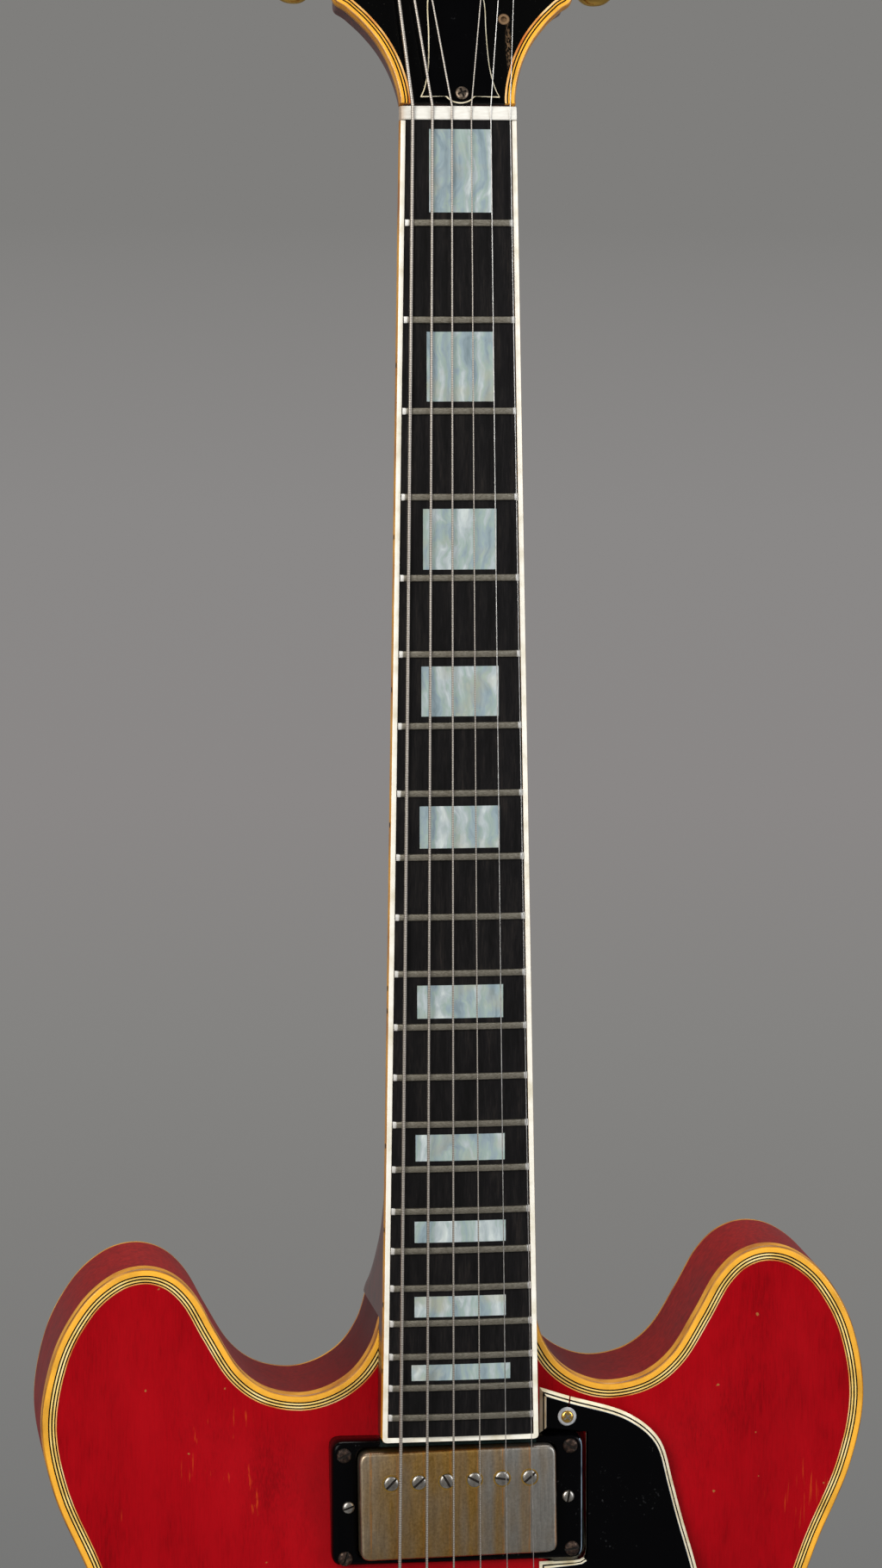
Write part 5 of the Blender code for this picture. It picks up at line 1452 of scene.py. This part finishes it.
class GUITAR_OT_strings(bpy.types.Operator):
    """String the instrument, with turns on the posts and loops round the vibrato's shaft"""

    bl_idname = "guitar.strings"
    bl_label = "Strings"
    bl_options = {"REGISTER", "UNDO"}

    def execute(self, context):
        turns, steps = 2.75, 20
        for index, radius in enumerate(STRING_RADII):
            paint = wound_string if index < 4 else plain_string
            path = string_path(index)
            run = [path[2].lerp(path[3], share / 8) for share in range(1, 8)]
            item = tube(f"strung_{index + 1}", path[:3] + run + path[3:], radius, 12)
            piece(item, "instrument", "steel", paint, replaces=(f"string_{index + 1}",), angle=60)

            side, place = post_spot(index)
            coil = []
            for step in range(int(turns * steps) + 1):
                angle = math.tau * step / steps
                depth = -0.005 + (2 * radius + 0.00004) * step / steps
                reach = POST_NECK + radius + 0.00012 + max(0, abs(depth + 0.0048) - 0.0008) * 0.5
                coil.append((-side * reach * math.cos(angle), depth, reach * math.sin(angle)))
            wrap = tube(f"string_turns_{index + 1}", coil, radius)
            piece(settle(wrap, place), f"post_{index + 1}", "steel", plain_string, angle=60)

            hold = SHAFT_RADIUS + radius + GAP / 2
            loop = tube(f"string_loop_{index + 1}",
                [(path[0].x, SHAFT[0] + hold * math.cos(turn), SHAFT[1] - hold * math.sin(turn))
                for turn in np.linspace(0, math.radians(250), 22)], radius)
            piece(loop, "vibrato_shaft", "steel", paint, angle=60)
        return {"FINISHED"}


def pickup(name, distance, ring_front, cover_front, pole_side, turn):
    """A covered pickup, its screws and the tapered ring that seats it on the arched top."""
    centre = (PICKUP_X, -distance)
    hub = at(PICKUP_X, 0, -distance)
    set_in = NECK @ hub @ turn_y(turn) @ hub.inverted()
    cover = plate(f"{name}_cover", rectangle(*PICKUP_HALF, 0.0036, centre, 6), cover_front,
        cover_front + 0.0165)
    piece(settle(soften(cover, 0.0012, 4, angle=60), set_in), "instrument", "worn_metal", worn_cover,
        replaces=(f"{name}_pickup",))
    row = -distance + pole_side * 0.0082
    pole_places = [set_in @ at(POLES[0] + POLES[1] * index, cover_front, row) for index in range(6)]
    spread(screw("pole", 0.00262, 0.0008, 0.0008),
        {f"{name}_pole_{index + 1}": pole_places[index] @ turn_y(angle * pole_side)
        for index, angle in enumerate((45, 40, -60, -30, -10, 40))},
        "instrument", "worn_metal", bright_steel, slot_dirt)
    halo = turned("halo", mm((2, -0.06), (3.1, -0.06), (3.2, 0.1), (2, 0.1)), 32)
    spread(halo, {f"{name}_pole_ring_{index + 1}": place for index, place in enumerate(pole_places)},
        "instrument", "gold", gold_plate)

    outer = divided(rectangle(*RING_HALF, 0.004, (0, -distance)), 0.006)
    # the base reaches 2.4 mm further out on the right, under the guard, so that black plastic fills the gap
    # there as painted shade
    under_guard = inset(outer, [-0.0024 if point.x > 0.03 else 0.0 for point in outer])
    rings = [[drop_to_top(on_neck(x, ring_front, -z), 0.0001) for x, z in under_guard]]
    for inward, depth in ((0, 0.0016), (0.0004, 0.0006), (0.0008, 0.0002), (0.0016, 0)):
        rings.append([on_neck(x, ring_front + depth, -z)
            for x, z in (inset(outer, inward) if inward else outer)])
    ring = sweep(f"{name}_ring", rings)
    inner = divided(rectangle(PICKUP_HALF[0] + 0.0007, PICKUP_HALF[1] + 0.0007, 0.0036, centre), 0.006)
    carve(ring, settle(plate("opening", inner, -0.03, 0.04), NECK))
    soften(ring, 0.0003, 2, angle=60)
    # the bevel on the ring's right-hand side takes finish 1, a painted highlight
    number_faces(ring, 1, lambda middle, normal: normal.x > 0.55 and -0.85 < normal.y < -0.6
        and middle.x > PICKUP_X + PICKUP_HALF[0] + 0.002)
    piece(ring, "instrument", "black", black_plastic, blue_edge, replaces=(f"{name}_pickup_ring",))

    for kind, head, paint, places in (("ring", screw("ring_screw", 0.00262, 0.0011, 0.0008), rusted_steel,
            ((-0.0406, 0.0173, 25), (-0.0403, -0.0195, 70), (0.0401, 0.0184, -35), (0.0407, -0.0185, 10))),
            ("height", screw("height_screw", 0.0022, 0.0012, 0.0007), bright_steel,
            ((-0.0391, -0.0012, 20), (0.0393, 0.0003, 80)))):
        spread(head, {
            f"{name}_{kind}_screw_{index + 1}": NECK @ at(x, ring_front, z - distance) @ turn_y(angle)
            for index, (x, z, angle) in enumerate(places)}, "instrument", "steel", paint, slot_dirt)


class GUITAR_OT_pickups(bpy.types.Operator):
    """Set the two covered pickups in their rings"""

    bl_idname = "guitar.pickups"
    bl_label = "Pickups"
    bl_options = {"REGISTER", "UNDO"}

    def execute(self, context):
        pickup("neck", PICKUP_S[0], 0.006, 0.0012, 1, 0.9)
        pickup("bridge", PICKUP_S[1], 0.0045, -0.0004, -1, 0)
        return {"FINISHED"}


class GUITAR_OT_guard(bpy.types.Operator):
    """Cut the raised guard with its bevelled plies, and fix it on its post"""

    bl_idname = "guitar.guard"
    bl_label = "Guard"
    bl_options = {"REGISTER", "UNDO"}

    def execute(self, context):
        outer = curve(mm((29.7, -445), (40.9, -448.7), (56.4, -453.1), (65.1, -457.4), (71.3, -462.8),
            (74.8, -469), (77.6, -480), (81, -493), (86.3, -511.4), (90.5, -530), (92.5, -550), (90, -575),
            (80, -598), (65, -608), (53, -609)), 5)
        low, high = -PICKUP_S[0] - 0.0238, -PICKUP_S[1] + 0.0238
        corners = ((0.0464, -0.609), (0.0464, high), (0.0296, high), (0.0296, low), (0.0464, low),
            (0.0464, -0.4614), (0.0297, -0.4614), (0.0297, -0.445))
        outline = outer + rounded(corners, (0, 0, 0, 0, 0.004, 0, 0, 0))[:-1]
        # the bevel is full along the outer edge, and narrower round the pickups' cut-outs
        widths = [1.0 if index < len(outer) or abs(point.x - 0.0297) < 0.0006 else 0.2
            if abs(point.x - 0.0464) < 0.0003 else 0.6 for index, point in enumerate(outline)]
        # how far inwards and how deep each ply begins, and its finish; finish 3 is a painted highlight along
        # the arris
        plies = ((0, 0.0101, 1), (0, 0.0098, 1), (0.001, 0.0089, 2), (0.0015, 0.0085, 1),
            (0.0021, 0.0079, 3), (0.00222, GUARD_DEPTH, 0))
        rings = []
        for inward, depth, _ in plies:
            moved = inset(outline, [inward * width for width in widths])
            rings.append([NECK @ Vector((point.x, depth, point.y)) for point in moved])
        guard = sweep("guard", rings, False, [band for _, _, band in plies], True)
        number_faces(guard, 0, lambda middle, normal: (NECK.inverted().to_3x3() @ normal).y < -0.99)
        # the short ledge above the pickup is left black, and the cut-out's tall edge beside the ring is left
        # black as painted shade, where the narrow gap lies in shadow
        number_faces(guard, 0, lambda middle, normal: normal.z < -0.5 and middle.z > -0.468)
        number_faces(guard, 0, lambda middle, normal: normal.x < -0.5 and middle.x > 0.045
            and (NECK.inverted() @ middle).y < 0.0098)
        slit = NECK @ at(0.0402, 0.009, -0.4502) @ turn_y(-16)
        carve(guard, settle(block("slit", (-0.00025, -0.004, -0.002), (0.00025, 0.004, 0.003)), slit))
        piece(guard, "instrument", "black", black_plastic, cream_ply, black_ply, blue_edge,
            replaces=("pickguard",), angle=20)
        x, z = GUARD_SCREWS[0]
        foot = seat(x, z, 0.0028) + 0.0002
        post = turned("guard_post", ((0, -0.0165), (0.0028, -0.0165), (0.0028, foot), (0, foot)))
        piece(settle(post, at(x, 0, z)), "instrument", "black", black_plastic)

        washer = turned("washer", mm((2, -0.8), (3, -0.8), (3.3, -0.5), (3.3, 0), (2, 0)), 32)
        spread(washer, {f"guard_washer_{index + 1}": NECK @ at(x, GUARD_DEPTH, z)
            for index, (x, z) in enumerate(GUARD_SCREWS)}, "instrument", "black", clear_washer)
        spread(screw("head", 0.0022, 0.001, 0.0006, True),
            {f"guard_screw_{index + 1}": NECK @ at(x, 0.0072, z) @ turn_y(38)
            for index, (x, z) in enumerate(GUARD_SCREWS)}, "instrument", "gold", gold_plate, worn_cover)
        return {"FINISHED"}


class GUITAR_OT_bridge(bpy.types.Operator):
    """Build the bridge bar with its saddles and screws on two posts with knurled wheels"""

    bl_idname = "guitar.bridge"
    bl_label = "Bridge"
    bl_options = {"REGISTER", "UNDO"}

    def execute(self, context):
        middle = on_neck(BRIDGE_STRINGS[0] + 2.5 * BRIDGE_STRINGS[1], 0, SCALE_LENGTH)
        front = middle.y - 0.002
        back = front + 0.0072
        bar = plate("bridge_bar", rectangle(0.0485, 0.0062, 0.0058, (middle.x, middle.z), 8), front, back)
        soften(bar, 0.0008, 3, angle=60)
        trough = rectangle(0.0325, 0.0046, 0.0006, (middle.x, middle.z))
        carve(bar, plate("trough", trough, front - 0.002, front + 0.0048))
        piece(bar, "instrument", "worn_metal", gold_plate, replaces=("bridge",))
        for index in range(6):
            top = on_neck(string_x(index, SCALE_LENGTH), string_depth(index, SCALE_LENGTH), SCALE_LENGTH)
            peak = top.y + STRING_RADII[index] + 0.0001
            shift = 0.0018 - 0.0016 * (index % 3)
            wedge = [(-0.0036 + shift, front + 0.004), (-0.0036 + shift, front + 0.0006), (-0.0005, peak),
                (0.0005, peak), (0.0036 + shift, front + 0.0006), (0.0036 + shift, front + 0.004)]
            saddle = sweep(f"saddle_{index + 1}",
                [[(top.x + side * 0.0034, y, top.z + min(max(z, -0.0044), 0.0044)) for z, y in wedge]
                for side in (-1, 1)])
            soften(saddle, 0.0003, 2, angle=20)
            carve(saddle, block("notch", (top.x - STRING_RADII[index], peak - 0.002, top.z - 0.003),
                (top.x + STRING_RADII[index], peak + 0.00025, top.z + 0.003)))
            piece(saddle, "instrument", "worn_metal", gold_plate)
            rod = [(top.x, front + 0.0024, middle.z + along) for along in (-0.0046, 0.0068)]
            head = settle(screw("head", 0.0019, 0.001, 0.0005),
                at(top.x, front + 0.0024, middle.z + 0.0062) @ swung(-90, "X"))
            item = joined(f"saddle_screw_{index + 1}", tube("rod", rod, 0.0011, 16), head)
            piece(item, "instrument", "steel", bright_steel, slot_dirt)
        for side, name in ((-1, "bass"), (1, "treble")):
            x = BODY_X + side * BRIDGE_POST
            foot = float(top_depth(x, middle.z)[0])
            teeth = [spot * (0.0075 if step % 2 else 0.0078) for step, spot in enumerate(disc(1, 64))]
            wheel = plate("wheel", teeth, back + 0.0002, back + 0.003)
            shaft = turned("shaft", ((0, back + 0.0001), (0.0024, back + 0.0001), (0.0024, -0.0046),
                (0, -0.0046)), 24)
            collar = turned("collar", ((0.0024, foot - 0.0022), (0.0058, foot - 0.0018), (0.0058, foot),
                (0.0024, foot)), 32)
            item = joined(f"bridge_wheel_{name}", wheel, shaft, collar)
            piece(settle(item, at(x, 0, middle.z)), "instrument", "gold", gold_plate,
                replaces=(f"bridge_post_{name}",))
        return {"FINISHED"}


class GUITAR_OT_knobs(bpy.types.Operator):
    """Turn the volume and tone knobs, with their dial numbers and pointers"""

    bl_idname = "guitar.knobs"
    bl_label = "Volume and tone knobs"
    bl_options = {"REGISTER", "UNDO"}

    def execute(self, context):
        sizes = context.scene.guitar_sizes
        for name, (x, z) in zip(KNOB_NAMES, KNOBS):
            base = seat(x, z, 0.0126) - SEAT_GAP
            knob = turned(f"{name}_bell", mm((0, -14.4), (5.2, -14.6), (6, -15), (8, -15), (8.8, -14.4),
                (9, -13.6), (9.3, -10), (9.7, -6.8), (10.4, -4.8), (11.4, -2.6), (12.2, -1.2), (12.6, -0.8),
                (12.6, -0.2), (12.3, 0), (3, 0), (3, 16), (0, 16)), 80)
            knurl(knob, 80, 0.975, lambda radius, depth: radius > 0.0085 and -0.014 < depth < -0.006)
            place = at(x, base, z)
            piece(settle(knob, place), name, "knob", knob_plastic, replaces=(name,), angle=50)
            numbers = []
            for number in range(11):
                bpy.ops.object.select_all(action="DESELECT")
                bpy.ops.object.text_add()
                text = bpy.context.object
                text.data.body = str(number)
                text.data.size = sizes.dial_number
                text.data.align_x = text.data.align_y = "CENTER"
                text.data.resolution_u = 3
                text.data.extrude = 0.00004
                bpy.ops.object.convert(target="MESH")
                mark = bpy.context.object
                mark.rotation_euler = (0, 0, 0)
                # eleven numbers, 29 degrees apart, leaning back with the skirt
                numbers.append(settle(mark,
                    place @ turn_y(29 * number + 35) @ at(0, -0.0029, -0.01155) @ swung(28, "X")))
            piece(joined(f"{name}_numbers", *numbers), name, "gold", gold_paint)
            out = Vector((x - BODY_X, z + 0.66)).normalized()
            spike = mm((0, -4), (-4, 0), (-2.2, 13.5), (0, 16.2), (2.2, 13.5), (4, 0))
            pointer = plate(f"{name}_pointer", spike, 0.0002, 0.0007)
            turn = turn_y(math.degrees(math.atan2(-out.x, out.y)))
            piece(settle(pointer, place @ turn), "instrument", "gold", gold_plate)
        return {"FINISHED"}


class GUITAR_OT_switches(bpy.types.Operator):
    """Make the pointer knob of the tone selector and the lever switch of the pickups"""

    bl_idname = "guitar.switches"
    bl_label = "Selector and switch"
    bl_options = {"REGISTER", "UNDO"}

    def execute(self, context):
        x, z = SELECTOR
        base = seat(x, z, 0.0098) - SEAT_GAP
        knob = turned("selector_pointer", mm((0, -5), (8.6, -5), (9.6, -4.4), (9.8, -3.4), (9.8, -0.4),
            (9.4, 0), (3, 0), (3, 16), (0, 16)), 48)
        wing = curve(mm((0, 16.5), (1.3, 15), (3, 9), (4.2, 3), (3.8, -4), (2.8, -8.4), (0, -9.2)), 4)
        wing += [Vector((-point.x, point.y)) for point in reversed(wing[1:-1])]
        carve(knob, soften(plate("fin", wing, -0.015, -0.002), 0.0009, 3, angle=60), "UNION")
        place = at(x, base, z)
        piece(settle(knob, place), "selector_knob", "black", knob_plastic, replaces=("selector_knob",))
        stripe = mm((-0.35, 3.5), (-0.35, 14), (0.35, 14), (0.35, 3.5))
        mark = plate("selector_mark", stripe, -0.01504, -0.0148)
        piece(settle(mark, place), "selector_knob", "gold", gold_paint)

        x, z = TOGGLE
        base = seat(x, z, 0.0086) - SEAT_GAP
        bush = turned("switch_nut", mm((3.8, -5), (6, -5), (6.4, -4.6), (6.4, -3), (8, -2.6), (8.6, -1.8),
            (8.6, 0.8), (5.8, 0.8), (5.8, 12), (3.8, 12)), 48)
        knurl(bush, 48, 0.97, lambda radius, depth: radius > 0.0079)
        piece(settle(bush, at(x, base, z)), "instrument", "gold", gold_plate, replaces=("switch_bush",))
        lever = turned("switch_shank", mm((0, -11), (1.3, -11), (1.4, -8), (1.4, 0.8), (0, 0.8)), 20)
        tip = turned("switch_tip", mm((0, -18), (1.2, -17.9), (2.4, -17.3), (3.2, -16.2), (3.4, -15),
            (3.1, -12), (2.5, -9.6), (2.1, -8.4), (0, -8.4)), 28)
        place = at(x, base + 0.001, z)
        piece(settle(lever, place), "switch_lever", "steel", bright_steel, replaces=("pickup_switch",))
        piece(settle(tip, place), "switch_lever", "ivory", ivory_binding)
        return {"FINISHED"}


class GUITAR_OT_fittings(bpy.types.Operator):
    """Fit the output jack and the two strap buttons"""

    bl_idname = "guitar.fittings"
    bl_label = "Jack and strap buttons"
    bl_options = {"REGISTER", "UNDO"}

    def execute(self, context):
        x, z = JACK
        base = seat(x, z, 0.0092) - SEAT_GAP
        sleeve = turned("sleeve", mm((3.3, -3.2), (5.4, -3.2), (5.8, -2.8), (5.8, 15), (3.3, 15)), 40)
        nut = soften(plate("nut", disc(0.0074, 6), -0.0024, -0.0002), 0.0005, 2, angle=50)
        carve(nut, plate("bore", disc(0.0056, 32), -0.01, 0.01))
        washer = turned("washer", mm((5.6, -0.4), (8.8, -0.4), (9.2, 0), (9.2, 0.8), (5.6, 0.8)), 40)
        jack = joined("jack_socket", sleeve, nut, washer)
        piece(settle(jack, at(x, base, z)), "instrument", "gold", gold_plate, replaces=("output_jack",))

        low = body_outline(1)[len(BODY_HALF) - 1]
        heel_back = float(back_depth(BODY_X, -0.444)[0])
        for name, place in (("end", at(low.x, BODY_FRONT + 0.033, low.y - GAP / 3) @ swung(-90, "X")),
                ("heel", at(BODY_X, heel_back + GAP, -0.436))):
            button = turned(f"{name}_button", mm((0, 0.6), (6.2, 0.6), (6, 1.4), (4.4, 3), (3.8, 4.2),
                (4, 6), (5.6, 8), (7.2, 9), (7.6, 9.8), (7.6, 11), (7, 11.6), (3.4, 11.2), (0, 11.2)), 40)
            piece(settle(button, place), "instrument", "gold", gold_plate,
                replaces=(f"strap_button_{name}",))
            felt = turned(f"{name}_felt", mm((1, 0), (7.4, 0), (7.4, 0.8), (1, 0.8)), 32)
            piece(settle(felt, place), "instrument", "black", black_felt)
            head = settle(screw(f"{name}_button_screw", 0.0032, 0.0006, 0.0008, True),
                place @ at(0, 0.0112, 0) @ swung(180, "X"))
            piece(head, "instrument", "steel", bright_steel, slot_dirt)
        return {"FINISHED"}


class GUITAR_OT_vibrato(bpy.types.Operator):
    """Cast the vibrato's frame, and fit its shaft, spring and arm"""

    bl_idname = "guitar.vibrato"
    bl_label = "Vibrato tailpiece"
    bl_options = {"REGISTER", "UNDO"}

    def execute(self, context):
        surface = float(top_depth(BODY_X + np.array((-0.0335, 0, 0.0335)),
            np.full(3, SHAFT[1])).min()) - GAP
        front = surface - 0.0022
        corners = mm((-20, -865), (-14, -800), (-42, -760), (-42, -724), (-34, -724), (-32, -756),
            (0, -780), (32, -756), (34, -724), (62, -716), (62, -742), (42, -760), (14, -800), (20, -865))
        outline = rounded([(BODY_X + x, z) for x, z in corners], [0.0001, 0.01, 0.008, 0.003, 0.003, 0.01,
            0.012, 0.01, 0.003, 0.006, 0.006, 0.008, 0.01, 0.0001])
        cast = plate("vibrato_frame", outline, front, surface)
        profile = rounded(((SHAFT[0] - 0.009, 0.009), (front + 0.0008, 0.009), (front + 0.0008, -0.009),
            (SHAFT[0] - 0.009, -0.009)), [0.008, 0.0002, 0.0002, 0.008], 6)
        for middle in (-0.038, 0.038):
            ear = [[(BODY_X + middle + edge, depth, SHAFT[1] + up) for depth, up in profile]
                for edge in (-0.0038, 0.0038)]
            carve(cast, sweep("ear", ear), "UNION")
        for near, low, high in ((front, -0.8845, (surface, -0.86)),
                (front + 0.0006, -0.8845, (0.002, -0.882))):
            carve(cast, block("end_plate", (BODY_X - 0.02, near, low), (BODY_X + 0.02, *high)), "UNION")
        soften(cast, 0.0006, 2, angle=50)
        bore = [(BODY_X + end, *SHAFT) for end in (-0.046, 0.046)]
        carve(cast, tube("bore", bore, SHAFT_RADIUS + 0.0004, 40))
        piece(cast, "instrument", "gold", gold_plate, replaces=("tailpiece_frame",))
        corners = mm((-37, -756), (37, -756), (0, -860), (-12, -860), (12, -860))
        spread(screw("head", 0.0036, 0.0014, 0.0009, True),
            {f"frame_screw_{index + 1}": at(BODY_X + x, front, z) @ turn_y(17 * index)
            for index, (x, z) in enumerate(corners)}, "instrument", "gold", gold_plate, slot_dirt)

        shaft = tube("vibrato_axle", ((-0.044, 0, 0), (0.05, 0, 0)), SHAFT_RADIUS, 48)
        soften(shaft, 0.0004, 2, angle=60)
        lug = soften(block("lug", (0.044, -0.0072, -0.005), (0.058, -0.003, 0.024)), 0.0006, 3)
        carve(shaft, lug, "UNION")
        place = at(BODY_X, *SHAFT)
        piece(settle(shaft, place), "vibrato_shaft", "steel", bright_steel, replaces=("vibrato_shaft",))
        pin = turned("pin", mm((0, -3), (0.7, -2.9), (0.9, -2.5), (0.9, 2), (0, 2)), 16)
        spread(pin, {f"string_pin_{index + 1}": place
            @ at(string_x(index, SCALE_LENGTH) - BODY_X + 0.0018, -SHAFT_RADIUS + 0.0015, 0)
            for index in range(6)}, "vibrato_shaft", "steel", bright_steel)

        arm_place = place @ at(0.051, -0.0072 - GAP, 0.017)
        line = curve(mm((0, 0), (10, 30), (24, 60), (30, 95), (28, 130), (20, 165)), 6)
        rings = []
        for step, point in enumerate(line):
            ahead = (line[min(step + 1, len(line) - 1)] - line[max(step - 1, 0)]).normalized()
            across = Vector((ahead.y, -ahead.x))
            share = min(step / 18, 1.0)
            lift = -0.012 * share * share * (3 - 2 * share)
            end = len(line) - 1 - step
            half = 0.0055 * (1.0 if end > 2 else (0.55, 0.8, 0.93)[end])
            section = ((-1, 0.0004), (-1, 0.0022), (-0.88, 0.0026), (0.88, 0.0026), (1, 0.0022),
                (1, 0.0004), (0.88, 0), (-0.88, 0))
            rings.append([(point.x + across.x * half * side, lift - depth, point.y + across.y * half * side)
                for side, depth in section])
        arm = sweep("vibrato_handle", rings)
        boss = turned("boss", mm((0, -4.5), (6, -4.5), (6.6, -4.1), (6.8, -3.5), (6.8, 0), (0, 0)), 36)
        carve(arm, boss, "UNION")
        piece(settle(arm, arm_place), "vibrato_arm", "steel", bright_steel, replaces=("vibrato_arm",))

        wire, turns, radius = 0.0007, 3.5, 0.0052
        start, end = front - GAP - wire, SHAFT[0] - 0.003 + GAP + wire
        coil = []
        for step in range(int(turns * 28) + 1):
            share = step / (turns * 28)
            angle = math.tau * turns * share
            coil.append((BODY_X + 0.051 + radius * math.cos(angle), start + (end - start) * share,
                SHAFT[1] + 0.013 + radius * math.sin(angle)))
        spring = tube("return_spring", coil, wire, 10)
        spring.data.materials.append(finish(bright_steel))
        activate(spring)
        bpy.ops.object.shade_smooth_by_angle(angle=math.radians(60))
        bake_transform(spring)
        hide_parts("vibrato_spring")
        return {"FINISHED"}


class GUITAR_OT_inner_parts(bpy.types.Operator):
    """Finish the parts that stay as the CAD has them: the centre block and the truss rod"""

    bl_idname = "guitar.inner_parts"
    bl_label = "Centre block and truss rod"
    bl_options = {"REGISTER", "UNDO"}

    def execute(self, context):
        for name, paint in (("centre_block", bare_maple), ("truss_rod", bright_steel)):
            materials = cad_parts[name].data.materials
            materials.clear()
            materials.append(finish(paint))
        return {"FINISHED"}


def light(name, place, size, power, colour, aim):
    """A soft box turned towards a point."""
    lamp = bpy.data.lights.new(name, "AREA")
    lamp.shape = "RECTANGLE"
    lamp.size, lamp.size_y = size
    lamp.energy = power
    lamp.color = linear(colour)[:3]
    item = bpy.data.objects.new(name, lamp)
    bpy.context.collection.objects.link(item)
    item.location = place
    item.rotation_euler = (Vector(aim) - Vector(place)).to_track_quat("-Z", "Y").to_euler()
    return item


class GUITAR_OT_stage(bpy.types.Operator):
    """Set the floor, the grey room, the soft boxes and the camera"""

    bl_idname = "guitar.stage"
    bl_label = "Stage, lights and camera"
    bl_options = {"REGISTER", "UNDO"}

    def execute(self, context):
        scene = context.scene
        floor = plate("floor", disc(60.0, 96), 0, 0.001)
        settle(floor, at(0, 0, CAD_BOX[0][2] - 0.0005) @ swung(90, "X"))
        floor.data.materials.append(finish(studio_floor))

        world = bpy.data.worlds.new("Studio")
        scene.world = world
        world.use_nodes = True
        tree = world.node_tree
        add = partial(add_node, tree)
        colour = add("Mix", {0: seen_itself(add), 6: "BFC1C2", 7: "7F7E7C"}, data_type="RGBA")
        set_inputs(tree, tree.nodes["Background"], {"Color": colour, "Strength": 1.0})

        aim = (0, 0, -0.25)
        light("key_box", (-1.5, -2.1, 0.9), (1.5, 1.9), 62, "FFFDF8", aim)
        light("fill_box", (1.9, -1.6, 0.5), (1.1, 2.0), 30, "F6FAFF", aim)
        light("hair_box", (0.2, 0.9, 1.7), (1.6, 0.8), 20, "FFFFFF", aim)

        camera = bpy.data.cameras.new("camera")
        camera.lens = CAMERA_LENS
        camera.sensor_width = 36.0
        scene.camera = bpy.data.objects.new("camera", camera)
        context.collection.objects.link(scene.camera)
        scene.camera.location = CAMERA_PLACE
        scene.camera.rotation_euler = [math.radians(angle) for angle in CAMERA_TURN]
        scene.view_settings.view_transform = "Standard"
        return {"FINISHED"}


class GuitarSizes(bpy.types.PropertyGroup):
    """Sizes that a user would change"""

    fret_width: bpy.props.FloatProperty(name="Fret width", description="Width of the fret wire",
        default=0.0024, unit="LENGTH")
    fret_height: bpy.props.FloatProperty(name="Fret height", description="Height of the worn fret wire",
        default=0.001, unit="LENGTH")
    sound_hole_edge: bpy.props.FloatProperty(name="Sound hole edge",
        description="Width of the ply round the sound holes", default=0.0009, unit="LENGTH")
    dial_number: bpy.props.FloatProperty(name="Dial number", description="Height of the knobs' numbers",
        default=0.003, unit="LENGTH")


class GuitarColours(bpy.types.PropertyGroup):
    """Colours that a user would change"""

    lacquer: bpy.props.FloatVectorProperty(name="Lacquer", description="Cherry of the top", size=3,
        default=linear("99000B")[:3], subtype="COLOR")
    binding: bpy.props.FloatVectorProperty(name="Binding", description="Amber of the bound edges", size=3,
        default=linear("EBA930")[:3], subtype="COLOR")
    plating: bpy.props.FloatVectorProperty(name="Plating", description="Gold of the hardware", size=3,
        default=linear("D9AE58")[:3], subtype="COLOR")


class GUITAR_PT_panel(bpy.types.Panel):
    """Sizes, colours and the steps that build the guitar"""

    bl_idname = "GUITAR_PT_panel"
    bl_label = "Guitar"
    bl_space_type = "VIEW_3D"
    bl_region_type = "UI"
    bl_category = "Guitar"

    def draw(self, context):
        for group in (context.scene.guitar_sizes, context.scene.guitar_colours):
            box = self.layout.box()
            for name in group.bl_rna.properties.keys():
                if name not in ("rna_type", "name"):
                    box.prop(group, name)
        for step in STEPS:
            self.layout.operator(step.bl_idname)


STEPS = (GUITAR_OT_stage, GUITAR_OT_plates, GUITAR_OT_rim, GUITAR_OT_neck, GUITAR_OT_fingerboard,
    GUITAR_OT_frets, GUITAR_OT_nut, GUITAR_OT_headstock, GUITAR_OT_tuners, GUITAR_OT_strings,
    GUITAR_OT_pickups, GUITAR_OT_guard, GUITAR_OT_bridge, GUITAR_OT_vibrato, GUITAR_OT_knobs,
    GUITAR_OT_switches, GUITAR_OT_fittings, GUITAR_OT_inner_parts)
CLASSES = (GuitarSizes, GuitarColours) + STEPS + (GUITAR_PT_panel,)


def register():
    for each in CLASSES:
        bpy.utils.register_class(each)
    bpy.types.Scene.guitar_sizes = bpy.props.PointerProperty(type=GuitarSizes)
    bpy.types.Scene.guitar_colours = bpy.props.PointerProperty(type=GuitarColours)


def unregister():
    del bpy.types.Scene.guitar_colours
    del bpy.types.Scene.guitar_sizes
    for each in reversed(CLASSES):
        bpy.utils.unregister_class(each)


def main():
    register()
    for step in STEPS:
        group, name = step.bl_idname.split(".")
        getattr(getattr(bpy.ops, group), name)()


if __name__ == "__main__":
    main()
